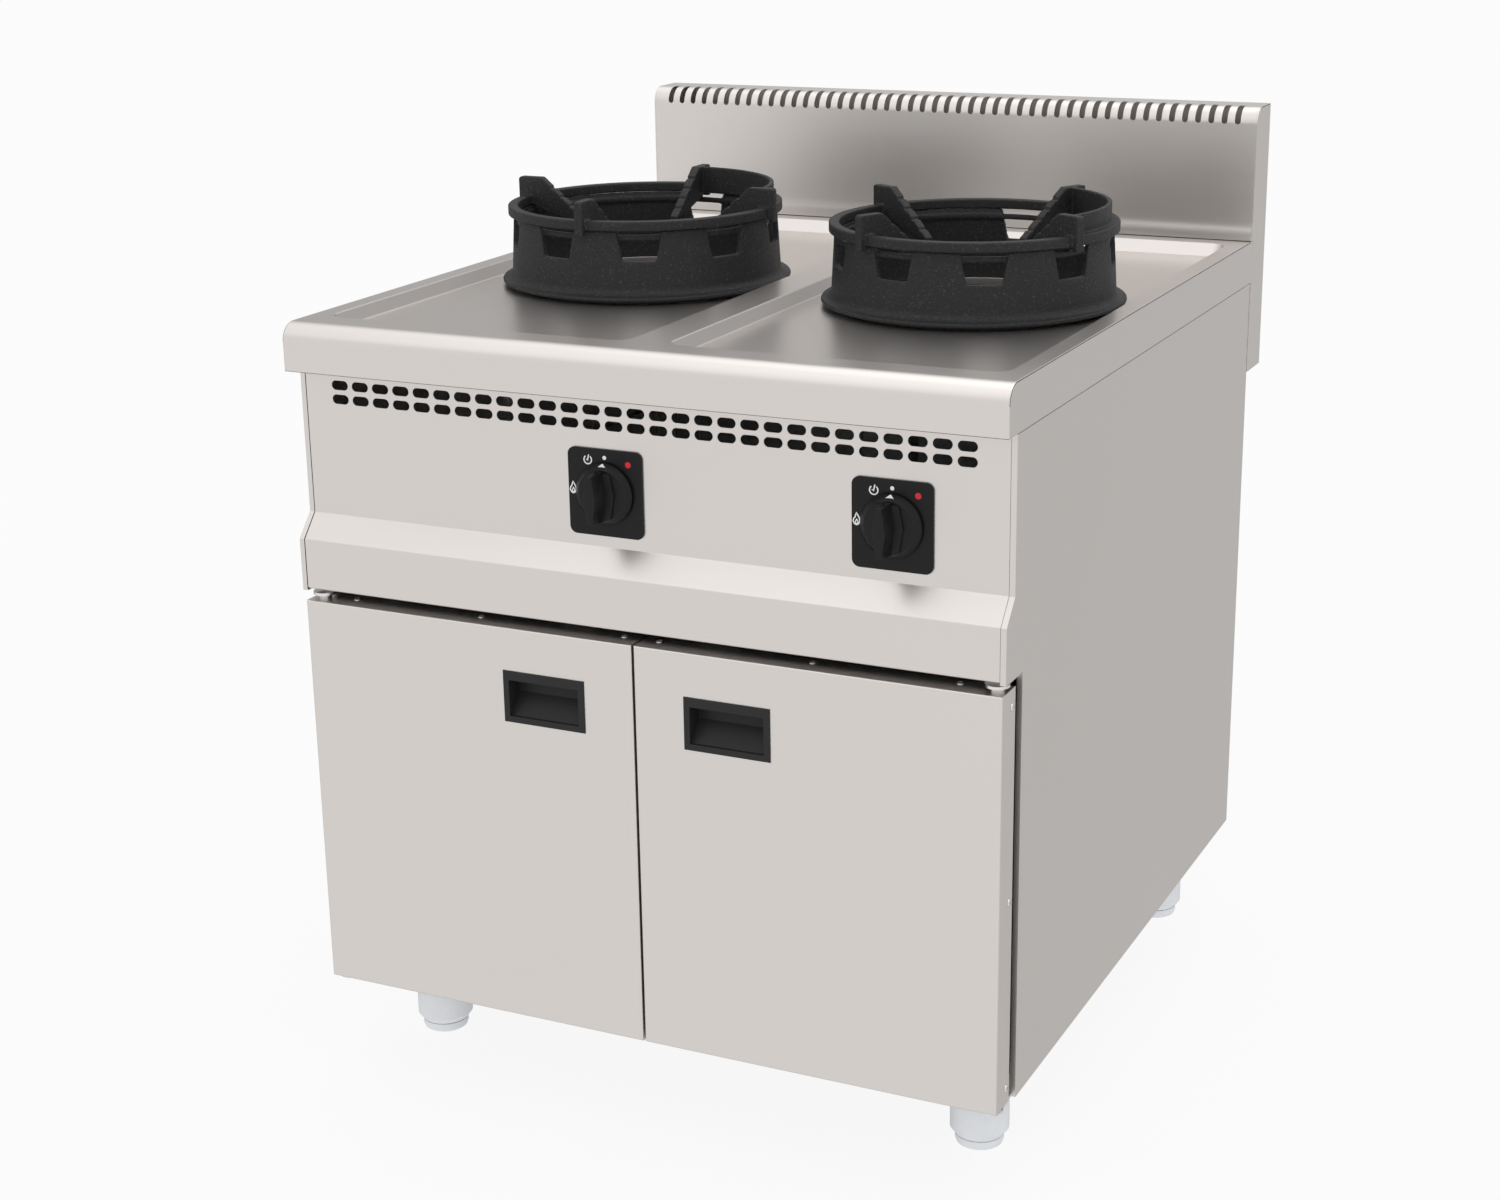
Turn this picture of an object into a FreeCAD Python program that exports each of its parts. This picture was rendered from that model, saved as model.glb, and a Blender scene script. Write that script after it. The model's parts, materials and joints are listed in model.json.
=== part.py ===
"""Two-burner gas wok range: a floor-standing cabinet with a pressed worktop, a chimney splashback,
two cast iron wok rings, two gas controls and two hinged doors.

Frame: millimetres, +Z up, +X to the right as seen from the front, front towards -Y.
Origin: middle of the overall box, on the floor.
"""
import FreeCAD, Part
import math
import os

V = FreeCAD.Vector

# ---- overall sizes ----
range_width = 800.0
range_depth = 900.0
worktop_height = 850.0
splash_rise = 156.5
leg_height = 105.0

# ---- sheet gauges and clearances ----
top_gauge = 2.0
case_gauge = 1.5
door_gauge = 1.2
seam = 0.3            # open seam between neighbouring parts
running_fit = 0.05    # radial clearance of a turning or sliding shaft

# ---- worktop ----
skirt_depth = 50.0
nose_radius = 20.0
skirt_gap = 1.2          # open line between the skirt and the case below it
well_depth = 15.0
well_front_margin = 50.0
well_side_margin = 21.0
well_rear_margin = 88.0
well_land = 42.0
well_corner = 20.0
burner_hole_radius = 120.0
burner_lip_height = 6.0
top_edge_round = 1.5

# ---- cabinet ----
flue_depth = 57.0
case_inset = 1.0
pan_depth = 6.0
tab_inset = 40.0
door_recess = 51.0
header_setback = 30.0
header_depth = 28.0
header_drop = 294.0
floor_upstand = 25.0
exhaust_width = 300.0
exhaust_height = 60.0
exhaust_drop = 70.0
rear_screw_radius = 2.0
rear_screw_head = 3.0
rear_screw_rise = 35.0
rear_screw_pitch = 130.0
rear_screw_count = 5

# ---- control panel ----
panel_setback = 26.0
fascia_setback = 4.0
slope_start = 208.0
slope_end = 233.0
fascia_end = 288.0
fascia_lip = 2.0
panel_lap = 25.0
panel_bend = 1.0
vent_length = 20.0
vent_height = 10.0
vent_pitch = 25.0
vent_end_margin = 30.0
vent_row_drop = 67.0
vent_row_pitch = 15.0
locating_slit = 1.5
locating_slit_height = 6.0
locating_slit_left = 56.0
locating_slit_right = 74.0

# ---- splashback ----
splash_foot = 4.0
splash_foot_height = 14.0
splash_step_height = 10.0
splash_depth = 58.0
splash_radius = 19.0
splash_tail = 159.0
slot_width = 7.0
slot_pitch = 16.0
slot_end_margin = 15.0
slot_drop = 19.5
slot_run = 28.0

# ---- doors ----
door_setback = 3.6
door_thickness = 36.0
door_side_inset = 4.0
door_gap = 2.4
door_bend = 2.0
door_top_drop = 301.3
door_bottom_rise = 1.0
liner_flange = 18.0
hinge_inset = 16.0
hinge_depth = 18.4
hinge_pin_radius = 4.0
hinge_plate_thickness = 3.0
hinge_plate_width = 21.0
hinge_washer_radius = 7.0
hinge_pin_grip = 14.0
hinge_boss_radius = 9.0
handle_width = 96.0
handle_height = 56.5
handle_proud = 1.5
handle_depth = 22.0
handle_wall = 2.0
handle_side_border = 7.0
handle_top_border = 10.0
handle_x = 105.2
handle_drop = 46.3
handle_floor_depth = 4.0
door_screw_radius = 2.0
door_screw_head = 4.0
door_screw_length = 8.0
top_screw_inner = 18.8
top_screw_middle = 188.8
top_screw_outer = 51.0
top_screw_line = 22.4
side_screw_inset = 18.4
side_screw_line = 26.9
strike_width = 40.0
strike_height = 15.0
strike_thickness = 1.5
strike_inset = 60.0
catch_depth = 14.0

# ---- controls ----
control_left_x = -35.6
control_right_inset = 125.0
control_drop = 151.0
bezel_width = 84.0
bezel_height = 90.0
bezel_corner = 8.0
bezel_thickness = 2.0
knob_radius = 32.0
knob_face_radius = 26.0
knob_skirt_depth = 6.0
knob_step_height = 3.5
knob_step_length = 46.0
knob_step_width = 23.0
knob_step_belly = 4.5     # how far each side stands out at the middle
knob_grip_height = 21.7
knob_grip_length = 49.0
knob_grip_width = 5.6
knob_grip_belly = 4.0
knob_grip_draft = 1.2
knob_travel = 3.0
spindle_radius = 4.0
plug_radius = 9.0
plug_length = 20.0
spindle_grip_depth = 15.0
valve_radius = 15.0
valve_length = 34.0
valve_front_wall = 5.0
manifold_radius = 10.5
manifold_wall = 2.5
manifold_drop = 190.0
manifold_setback = 45.0
manifold_bend = 30.0
manifold_side_gap = 43.0
manifold_overrun = 34.4
inlet_reach = 45.0
inlet_hex = 15.0
inlet_hex_length = 15.0

# ---- burners ----
burner_setback = 434.0
burner_radius = 72.0
burner_floor_drop = 82.0
burner_rim_drop = 36.0
burner_wall = 6.0
burner_cap_inset = 4.0
burner_cap_rise = 22.0
burner_hub_radius = 26.0
burner_eye_radius = 13.0
burner_port_width = 2.5
burner_port_depth = 8.0
burner_port_sill = 2.0
burner_port_count = 36
tube_radius = 19.0
tube_bore = 14.0
tube_setback = 190.0
injector_radius = 11.0
injector_length = 24.0
injector_gap = 8.0
bracket_width = 30.0
bracket_gauge = 3.0
tray_drop = 262.0
gas_pipe_radius = 5.0
gas_pipe_bend = 18.0
gas_pipe_run = 54.0
jet_radius = 1.2
pilot_radius = 5.0
pilot_gap = 12.0
pilot_angle = -58.0
pilot_stem = 24.0
pilot_rise = 8.0
probe_radius = 2.5
probe_angle = -42.0
pilot_pipe_radius = 2.0

# ---- wok collar and ring ----
collar_foot_gap = 13.6
collar_foot_reach = 10.9
collar_taper = 4.0
collar_wall = 8.0
collar_foot_lift = 4.4
collar_rim_height = 4.3
collar_rim_round = 1.2
collar_flare = 9.0
collar_top_rise = 65.0
collar_ledge_width = 2.5
collar_ledge_depth = 5.0
collar_ledge_height = 6.0
collar_ledge_root = 1.5    # how far the ledge runs into the wall behind it
window_count = 7
window_pitch = 38.4
window_start = -141.8
window_top_angle = 18.5
window_bottom_angle = 13.7
window_bottom_rise = 31.5
ring_overhang = 5.9
ring_band_width = 11.4
ring_band_height = 10.8
ring_edge_break = 1.0
ring_turn = (1.0, -27.0)
fin_thickness = 10.0
fin_hook_thickness = 6.1
fin_tip_radius = 72.0
fin_flat = 30.0
fin_rise = 21.0
fin_tip_drop = 29.0
fin_tip_height = 6.0
fin_hook_drop = 5.0
fin_crest_break = 2.0
fin_lug_drop = 6.0
fin_lug_width = 8.0
fin_notch_count = 4
fin_notch_depth = 1.6
fin_notch_width = 4.0
lip_inset = 9.4
lip_wall = 5.0
lip_drop = 1.0
lift_gap = 0.3        # seat of a loose casting

# ---- feet ----
foot_side_inset = 68.0
foot_front_inset = 130.0
foot_rear_inset = 137.0
foot_radius = 31.5
foot_bore = 24.0
foot_sleeve_rise = 12.3
foot_sleeve_taper = 6.7
foot_mouth_radius = 26.5
foot_pad_radius = 26.0
foot_pad_base = 22.0
foot_pad_bevel = 1.5
foot_pad_height = 11.0
foot_stem_top = 70.0
foot_cap = 5.0
foot_bolt_radius = 6.0
foot_bolt_length = 10.0
foot_bolt_head = 9.5

# ---- places worked out from the sizes ----
knob_height = knob_skirt_depth + knob_step_height + knob_grip_height
knob_proud = bezel_thickness + seam + knob_travel + knob_height - panel_setback
half_width = range_width / 2
front = (knob_proud - range_depth) / 2
rear = front + range_depth
top = worktop_height
case_half = half_width - case_inset
case_inner = case_half - pan_depth
case_rear = rear - flue_depth
under_top = top - top_gauge
skirt_bottom = top - skirt_depth
case_bottom = leg_height
header_bottom = top - header_drop
tray_top = top - tray_drop
header_front = front + header_setback
case_front = front + door_recess
well_floor = top - well_depth
well_inner = well_land / 2
well_outer = half_width - well_side_margin
burner_x = (well_inner + well_outer) / 2
burner_y = front + burner_setback
control_z = top - control_drop
control_x = (control_left_x, half_width - control_right_inset)
manifold_y = front + manifold_setback
manifold_z = top - manifold_drop
manifold_right = case_inner - manifold_side_gap
manifold_left = control_x[0] - manifold_overrun
panel_y = front + panel_setback
door_front = front + door_setback
door_top = top - door_top_drop
door_bottom = case_bottom + door_bottom_rise
door_outer = half_width - door_side_inset
hinge_x = half_width - hinge_inset
hinge_y = door_front + hinge_depth
burner_cap_radius = burner_radius - burner_cap_inset
pilot_offset = burner_radius + pilot_gap
collar_foot_radius = burner_x - well_inner - collar_foot_gap
collar_wall_radius = collar_foot_radius - collar_foot_reach
collar_top_radius = collar_wall_radius - collar_taper
ring_radius = collar_top_radius + ring_overhang
fin_reach = ring_radius + fin_hook_thickness
lip_radius = ring_radius - lip_inset
foot_x = half_width - foot_side_inset


# ---- shape helpers ----
def block(x0, x1, y0, y1, z0, z1):
    return Part.makeBox(x1 - x0, y1 - y0, z1 - z0, V(x0, y0, z0))


def rod(radius, start, end):
    axis = end - start
    return Part.makeCylinder(radius, axis.Length, start, axis)


def polygon(points):
    return Part.makePolygon(points + [points[0]])


def side_face(points):
    """Face in the YZ plane from (y, z) pairs, at x = 0."""
    return Part.Face(polygon([V(0, y, z) for y, z in points]))


def across(face, x0, x1):
    """Sheet section in the YZ plane, drawn out from x0 to x1."""
    moved = face.copy()
    moved.translate(V(x0, 0, 0))
    return moved.extrude(V(x1 - x0, 0, 0))


def inset(points, distance):
    """Closed outline of (y, z) pairs moved inwards by the sheet thickness, corners kept square."""
    area = sum(a[0] * b[1] - b[0] * a[1] for a, b in zip(points, points[1:] + points[:1]))
    turn = math.copysign(distance, area)
    moved = []
    for before, here, after in zip(points[-1:] + points[:-1], points, points[1:] + points[:1]):
        back = math.atan2(here[1] - before[1], here[0] - before[0])
        onward = math.atan2(after[1] - here[1], after[0] - here[0])
        middle = (back + onward) / 2
        if abs(onward - back) > math.pi:
            middle += math.pi
        reach = turn / math.cos(middle - back)
        moved.append((here[0] - reach * math.sin(middle), here[1] + reach * math.cos(middle)))
    return moved


def rounded_block(x0, x1, y0, y1, z0, z1, radius):
    """Box with its four upright edges rounded."""
    body = block(x0, x1, y0, y1, z0, z1)
    return body.makeFillet(radius, upright_edges(body))


def upright_edges(body):
    return [e for e in body.Edges if is_along(e, V(0, 0, 1))]


def is_along(edge, axis):
    ends = edge.Vertexes
    return len(ends) == 2 and abs((ends[1].Point - ends[0].Point).normalize().dot(axis)) > 0.999


def bend_edges(body, y, z):
    """Edges across the range at one place of its section."""
    rows = [e for e in body.Edges if is_along(e, V(1, 0, 0))]
    return [e for e in rows if abs(e.CenterOfMass.y - y) < 0.01 and abs(e.CenterOfMass.z - z) < 0.01]


def rim_edges(body, radius, z):
    """Round edges of that radius lying level at height z."""
    rims = [e for e in body.Edges if isinstance(e.Curve, Part.Circle)]
    return [e for e in rims if abs(e.Curve.Radius - radius) < 0.01 and abs(e.Curve.Center.z - z) < 0.01]


def turned(profile, centre):
    """Solid of revolution about the upright axis through centre, from (radius, height) pairs."""
    face = Part.Face(polygon([V(r, 0, z) for r, z in profile]))
    return face.revolve(V(0, 0, 0), V(0, 0, 1), 360).translated(centre)


def fused(shapes):
    return shapes[0].multiFuse(shapes[1:]).removeSplitter() if len(shapes) > 1 else shapes[0]


def mirrored(shape):
    return shape.mirror(V(0, 0, 0), V(1, 0, 0))


def group(shapes):
    return Part.makeCompound(shapes)


def bent_path(points, radius):
    """Wire of straight runs joined by tangent arcs of one radius."""
    edges = []
    start = points[0]
    for corner, after in zip(points[1:-1], points[2:]):
        inward = (corner - start).normalize()
        outward = (after - corner).normalize()
        turn = inward.getAngle(outward)
        reach = radius * math.tan(turn / 2)
        entry = corner - inward * reach
        leave = corner + outward * reach
        bisector = (outward - inward).normalize()
        middle = corner + bisector * (radius / math.cos(turn / 2) - radius)
        edges.append(Part.LineSegment(start, entry).toShape())
        edges.append(Part.Arc(entry, middle, leave).toShape())
        start = leave
    edges.append(Part.LineSegment(start, points[-1]).toShape())
    return Part.Wire(edges)


def bent_tube(points, bend, radius, bore=0.0):
    """Round tube along straight runs and arcs."""
    path = bent_path(points, bend)
    direction = points[1] - points[0]
    outer = pipe_along(path, points[0], direction, radius)
    return outer.cut(pipe_along(path, points[0], direction, bore)) if bore else outer


def pipe_along(path, start, direction, radius):
    ring = Part.Wire(Part.Circle(start, direction, radius).toShape())
    return path.makePipeShell([ring], True, False)


# ---- worktop and splashback ----
def well_block(side, grow, z0, z1):
    """Outline of one well, side -1 or +1, grown by the sheet on every side."""
    x0, x1 = sorted((side * (well_inner - grow), side * (well_outer + grow)))
    y0 = front + well_front_margin - grow
    y1 = rear - well_rear_margin + grow
    return rounded_block(x0, x1, y0, y1, z0, z1, well_corner + grow)


def nosed_block(inwards, z0):
    """Worktop outline with the rounded nose along its front."""
    y1 = case_rear + case_gauge
    body = block(-half_width + inwards, half_width - inwards, front + inwards, y1, z0, top - inwards)
    return body.makeFillet(nose_radius - inwards, bend_edges(body, front + inwards, top - inwards))


def worktop():
    shell = nosed_block(0, skirt_bottom)
    long_edges = [e for e in shell.Edges if is_along(e, V(0, 1, 0)) and e.CenterOfMass.z > under_top]
    shell = shell.makeFillet(top_edge_round, long_edges)
    void = nosed_block(top_gauge, skirt_bottom - 1)
    void = void.fuse(block(-half_width + top_gauge, half_width - top_gauge, front + nose_radius,
                           rear, skirt_bottom - 1, under_top))
    shell = shell.cut(void)
    for side in (-1, 1):
        centre = V(side * burner_x, burner_y, 0)
        shell = shell.fuse(well_block(side, top_gauge, well_floor - top_gauge, top))
        shell = shell.cut(well_block(side, 0, well_floor, top + 1))
        lip = Part.makeCylinder(burner_hole_radius + top_gauge, burner_lip_height,
                                centre + V(0, 0, well_floor))
        hole = Part.makeCylinder(burner_hole_radius, well_depth * 3,
                                 centre + V(0, 0, well_floor - well_depth))
        shell = shell.fuse(lip).cut(hole)
    return shell.removeSplitter()


def splash_outline():
    """Section of the splashback: foot on the worktop, face, top, back and tail behind the case."""
    face_y = rear - splash_depth
    foot_y = face_y - splash_foot
    foot_z = top + seam
    tail_y = case_rear + case_gauge + seam
    step_z = top + splash_foot_height
    return [(foot_y, foot_z), (foot_y, step_z), (face_y, step_z + splash_step_height),
            (face_y, top + splash_rise), (rear, top + splash_rise), (rear, top - splash_tail),
            (tail_y, top - splash_tail), (tail_y, foot_z)]


def row_places(reach, width, pitch):
    """Places of the evenly spaced openings that fit between -reach and reach."""
    count = int((2 * reach - width) / pitch) + 1
    return [(i - (count - 1) / 2) * pitch for i in range(count)]


def rounded_splash(face, x0, x1, radius):
    body = across(face, x0, x1)
    level = face.BoundBox.ZMax
    front_y = min(v.Y for v in face.Vertexes if v.Z > level - seam)
    return body.makeFillet(radius, bend_edges(body, front_y, level))


def flue_slot(x):
    """Cutter for one flue slot: over the rounded edge, rounded at its lower end."""
    y0 = rear - splash_depth - splash_foot
    y1 = rear - splash_depth + slot_run
    low = top + splash_rise - slot_drop + slot_width / 2
    upper = block(x - slot_width / 2, x + slot_width / 2, y0, y1, low, top + splash_rise + 1)
    end = rod(slot_width / 2, V(x, y0, low), V(x, y0 + splash_radius, low))
    return upper.fuse(end)


def splashback_shell():
    outline = splash_outline()
    face = side_face(outline)
    end_x = half_width - case_gauge
    inner = side_face(inset(outline, case_gauge))
    shell = rounded_splash(face, -end_x, end_x, splash_radius)
    shell = shell.cut(rounded_splash(inner, -end_x - 1, end_x + 1, splash_radius - case_gauge))
    tail_y = case_rear + case_gauge + seam
    shell = shell.cut(block(-end_x - 1, end_x + 1, tail_y - 1, rear - case_gauge,
                            top - splash_tail + case_gauge, top + seam + case_gauge))
    slots = [flue_slot(x) for x in row_places(end_x - slot_end_margin, slot_width, slot_pitch)]
    return shell.cut(group(slots))


def splashback_end():
    """Right-hand end plate, closing the section."""
    face = side_face(splash_outline())
    return rounded_splash(face, half_width - case_gauge, half_width, splash_radius)


# ---- cabinet ----
def case_outline():
    """Side panel profile, following the control panel and the door recess."""
    return [(panel_y, skirt_bottom - skirt_gap), (panel_y, top - slope_start),
            (front + fascia_setback, top - slope_end),
            (front + fascia_setback, top - fascia_end - fascia_lip),
            (case_front, top - fascia_end - fascia_lip), (case_front, case_bottom),
            (case_rear, case_bottom), (case_rear, skirt_bottom - skirt_gap)]


def rear_screw_heights():
    lowest = case_bottom + rear_screw_rise
    return [lowest + i * rear_screw_pitch for i in range(rear_screw_count)]


def side_panel():
    """Right-hand pan: outer sheet with a folded edge all round and a tab that carries the worktop."""
    outline = case_outline()
    body = across(side_face(outline), case_inner, case_half)
    hollow = across(side_face(inset(outline, case_gauge)), case_inner - 1, case_half - case_gauge)
    tab = block(case_inner, case_inner + case_gauge, front + tab_inset, case_rear,
                skirt_bottom - skirt_gap - case_gauge, under_top)
    body = body.cut(hollow).fuse(tab)
    middle = (case_inner + case_half) / 2
    holes = [rod(rear_screw_radius + seam, V(middle, case_rear - pan_depth, z), V(middle, rear, z))
             for z in rear_screw_heights()]
    return body.cut(group(holes)).removeSplitter()


def back_panel():
    y0, y1 = case_rear, case_rear + case_gauge
    wide = block(-case_half, case_half, y0, y1, case_bottom, skirt_bottom - skirt_gap)
    neck = half_width - top_gauge - seam
    narrow = block(-neck, neck, y0, y1, skirt_bottom - skirt_gap, under_top)
    body = wide.fuse(narrow)
    for side in (-1, 1):
        x = side * half_width / 2
        body = body.cut(block(x - exhaust_width / 2, x + exhaust_width / 2, y0 - 1, y1 + 1,
                              top - exhaust_drop - exhaust_height, top - exhaust_drop))
        screw_x = side * (case_inner + case_half) / 2
        for z in rear_screw_heights():
            body = body.cut(rod(rear_screw_radius + seam, V(screw_x, y0 - 1, z), V(screw_x, y1 + 1, z)))
    body = body.cut(rod(manifold_radius + seam, V(manifold_right, y0 - 1, manifold_z),
                        V(manifold_right, y1 + 1, manifold_z)))
    return body.removeSplitter()


def back_panel_screws():
    """Pan-head screws that hold the back panel to the side pans."""
    screws = []
    y = case_rear + case_gauge
    for side in (-1, 1):
        x = side * (case_inner + case_half) / 2
        for z in rear_screw_heights():
            head = rod(rear_screw_head, V(x, y, z), V(x, y + case_gauge, z))
            shank = rod(rear_screw_radius, V(x, y - pan_depth, z), V(x, y, z))
            screws.append(head.fuse(shank))
    return group(screws)


def foot_places():
    rows = (front + foot_front_inset, rear - foot_rear_inset)
    return [V(side * foot_x, y, 0) for y in rows for side in (-1, 1)]


def cabinet_floor():
    body = block(-case_inner, case_inner, case_front, case_rear, case_bottom, case_bottom + case_gauge)
    lip = block(-case_inner, case_inner, case_front, case_front + case_gauge,
                case_bottom, case_bottom + floor_upstand)
    body = body.fuse(lip)
    for place in foot_places():
        body = body.cut(rod(foot_bolt_radius + seam, place + V(0, 0, case_bottom - 1),
                            place + V(0, 0, case_bottom + case_gauge + 1)))
    return body.removeSplitter()


def header_rail():
    """Channel across the top of the door opening, open to the rear."""
    z0, z1 = header_bottom, tray_top - case_gauge
    y1 = header_front + header_depth
    body = block(-case_inner, case_inner, header_front, y1, z0, z1)
    return body.cut(block(-case_inner - 1, case_inner + 1, header_front + case_gauge, y1 + 1,
                          z0 + case_gauge, z1 - case_gauge))


def burner_tray():
    """Sheet that closes the burner bay from the cupboard below."""
    return block(-case_inner, case_inner, header_front, case_rear, tray_top - case_gauge, tray_top)


def panel_outline():
    """Control panel section, lapping up behind the skirt and ending in a flange at the header."""
    rise = skirt_bottom + panel_lap
    low = top - fascia_end
    outer = [(panel_y, rise), (panel_y, top - slope_start), (front + fascia_setback, top - slope_end),
             (front + fascia_setback, low), (header_front, low)]
    bend = (math.atan2(panel_setback - fascia_setback, slope_end - slope_start)) / 2
    shift = case_gauge * math.tan(bend)
    inner = [(header_front, low + case_gauge), (front + fascia_setback + case_gauge, low + case_gauge),
             (front + fascia_setback + case_gauge, top - slope_end - shift),
             (panel_y + case_gauge, top - slope_start - shift), (panel_y + case_gauge, rise)]
    return outer + inner


def vent_cutter(x, z):
    half = (vent_length - vent_height) / 2
    y0, y1 = panel_y - 1, panel_y + case_gauge + 1
    ends = [rod(vent_height / 2, V(x + s * half, y0, z), V(x + s * half, y1, z)) for s in (-1, 1)]
    return fused([block(x - half, x + half, y0, y1, z - vent_height / 2, z + vent_height / 2)] + ends)


def bent_panel():
    """Control panel sheet with its three bends rounded on both faces."""
    outline = panel_outline()
    body = across(side_face(outline), -case_inner + seam, case_inner - seam)
    tight = [outline[1], outline[6], outline[7]]
    wide = [outline[2], outline[3], outline[8]]
    for radius, places in ((panel_bend, tight), (panel_bend + case_gauge, wide)):
        edges = [edge for y, z in places for edge in bend_edges(body, y, z)]
        body = body.makeFillet(radius, edges)
    return body


def control_panel():
    body = bent_panel()
    cutters = []
    for row in range(2):
        z = top - vent_row_drop - row * vent_row_pitch
        places = row_places(case_inner - vent_end_margin, vent_length, vent_pitch)
        cutters += [vent_cutter(x, z) for x in places]
    for x in control_x:
        cutters.append(rod(plug_radius, V(x, panel_y - 1, control_z),
                           V(x, panel_y + case_gauge + 1, control_z)))
    for x in (locating_slit_left - half_width, half_width - locating_slit_right):
        cutters.append(block(x - locating_slit / 2, x + locating_slit / 2, panel_y - 1,
                             panel_y + case_gauge + 1, skirt_bottom - locating_slit_height,
                             skirt_bottom + seam))
    return body.cut(group(cutters))


# ---- doors (drawn for the right-hand side) ----
def door_span():
    return door_gap / 2, door_outer


def handle_centre():
    return handle_x, door_top - handle_drop - handle_height / 2


def top_screw_places():
    inner, outer = door_span()
    row = (inner + top_screw_inner, inner + top_screw_middle, outer - top_screw_outer)
    return [V(x, door_front + top_screw_line, door_top) for x in row]


def side_screw_places():
    z0, z1 = door_bottom + side_screw_inset, door_top - side_screw_inset
    return [V(door_outer, door_front + side_screw_line, z) for z in (z0, (z0 + z1) / 2, z1)]


def rounded_front(body, radius):
    """Body with the four edges of its front face rounded."""
    y = body.BoundBox.YMin
    return body.makeFillet(radius, [e for e in body.Edges if abs(e.BoundBox.YMax - y) < 0.01])


def door_skin():
    x0, x1 = door_span()
    y1 = door_front + door_thickness
    body = rounded_front(block(x0, x1, door_front, y1, door_bottom, door_top), door_bend)
    void = block(x0 + door_gauge, x1 - door_gauge, door_front + door_gauge, y1 + 1,
                 door_bottom + door_gauge, door_top - door_gauge)
    body = body.cut(rounded_front(void, door_bend - door_gauge))
    x, z = handle_centre()
    w = handle_width / 2 - handle_wall
    h = handle_height / 2 - handle_wall
    body = body.cut(block(x - w, x + w, door_front - 1, door_front + door_gauge + 1, z - h, z + h))
    cutters = [rod(door_screw_radius + running_fit, p - V(0, 0, door_gauge + 1), p + V(0, 0, 1))
               for p in top_screw_places()]
    cutters += [rod(door_screw_radius + running_fit, p - V(door_gauge + 1, 0, 0), p + V(1, 0, 0))
                for p in side_screw_places()]
    for z0, z1 in ((door_top - door_gauge - 1, door_top + 1),
                   (door_bottom - 1, door_bottom + door_gauge + 1)):
        cutters.append(rod(hinge_pin_radius + running_fit, V(hinge_x, hinge_y, z0),
                           V(hinge_x, hinge_y, z1)))
    return body.cut(group(cutters))


def door_liner():
    """Inner pan that closes the door, with the steel strike for the catch."""
    x0, x1 = door_span()
    x0, x1 = x0 + door_gauge, x1 - door_gauge
    z0, z1 = door_bottom + door_gauge, door_top - door_gauge
    y1 = door_front + door_thickness
    y0 = y1 - liner_flange
    body = block(x0, x1, y0, y1, z0, z1)
    body = body.cut(block(x0 + door_gauge, x1 - door_gauge, y0 - 1, y1 - door_gauge,
                          z0 + door_gauge, z1 - door_gauge))
    strike = block(x0 + strike_inset, x0 + strike_inset + strike_width, y1, y1 + strike_thickness,
                   z1 - strike_height, z1)
    cutters = [rod(door_screw_radius + running_fit, p - V(0, 0, door_screw_length), p)
               for p in top_screw_places()]
    cutters += [rod(door_screw_radius + running_fit, p - V(door_screw_length, 0, 0), p)
                for p in side_screw_places()]
    boss = [rod(hinge_boss_radius + seam, V(hinge_x, hinge_y, low), V(hinge_x, hinge_y, high))
            for low, high in ((z0 - 1, z0 + hinge_pin_grip), (z1 - hinge_pin_grip, z1 + 1))]
    return body.fuse(strike).cut(group(cutters + boss))


def handle():
    """Flush pull: flange on the door face and a pocket whose floor slopes out towards the bottom."""
    x, z = handle_centre()
    w, h = handle_width / 2, handle_height / 2
    y0 = door_front - handle_proud
    flange = block(x - w, x + w, y0, door_front, z - h, z + h)
    flange = flange.makeChamfer(handle_proud / 2, [e for e in flange.Edges
                                                   if abs(e.CenterOfMass.y - y0) < 0.01])
    box_w = w - handle_wall - seam
    box_h = h - handle_wall - seam
    back = door_front + handle_depth
    cup = block(x - box_w, x + box_w, door_front, back, z - box_h, z + box_h)
    mouth_top = z + h - handle_top_border
    mouth_low = z - h + handle_side_border
    deep = back - handle_wall
    shallow = y0 + handle_floor_depth
    pocket = across(side_face([(y0 - 1, mouth_top), (deep, mouth_top + handle_wall),
                               (deep, z), (shallow, mouth_low), (y0 - 1, mouth_low)]),
                    x - w + handle_side_border, x + w - handle_side_border)
    return flange.fuse(cup).cut(pocket).removeSplitter()


def dome_screw(place, outward):
    """Domed head on the surface at place, with its shank going in."""
    head = Part.makeSphere(door_screw_head, place, outward, 0, 90, 360)
    head = head.common(rod(door_screw_head + 1, place, place + outward * door_screw_radius))
    shank = rod(door_screw_radius, place - outward * door_screw_length, place)
    return head.fuse(shank)


def door_screws():
    tops = [dome_screw(p, V(0, 0, 1)) for p in top_screw_places()]
    sides = [dome_screw(p, V(1, 0, 0)) for p in side_screw_places()]
    return group(tops + sides)


def hinge_pin(sheet_z, plate_z, outward):
    """Pin with a boss inside the door and a washer outside it; outward is +1 up or -1 down."""
    at = lambda z: V(hinge_x, hinge_y, z)
    boss_start = sheet_z - outward * door_gauge
    boss = rod(hinge_boss_radius, at(boss_start - outward * hinge_pin_grip), at(boss_start))
    end = plate_z + outward * hinge_plate_thickness
    pin = rod(hinge_pin_radius, at(boss_start), at(end))
    washer_end = plate_z - outward * seam
    washer = rod(hinge_washer_radius, at(sheet_z), at(washer_end))
    return fused([boss, pin, washer])


def hinge_pins():
    upper = hinge_pin(door_top, header_bottom - hinge_plate_thickness, 1)
    lower = hinge_pin(door_bottom, case_bottom, -1)
    return group([upper, lower])


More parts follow.
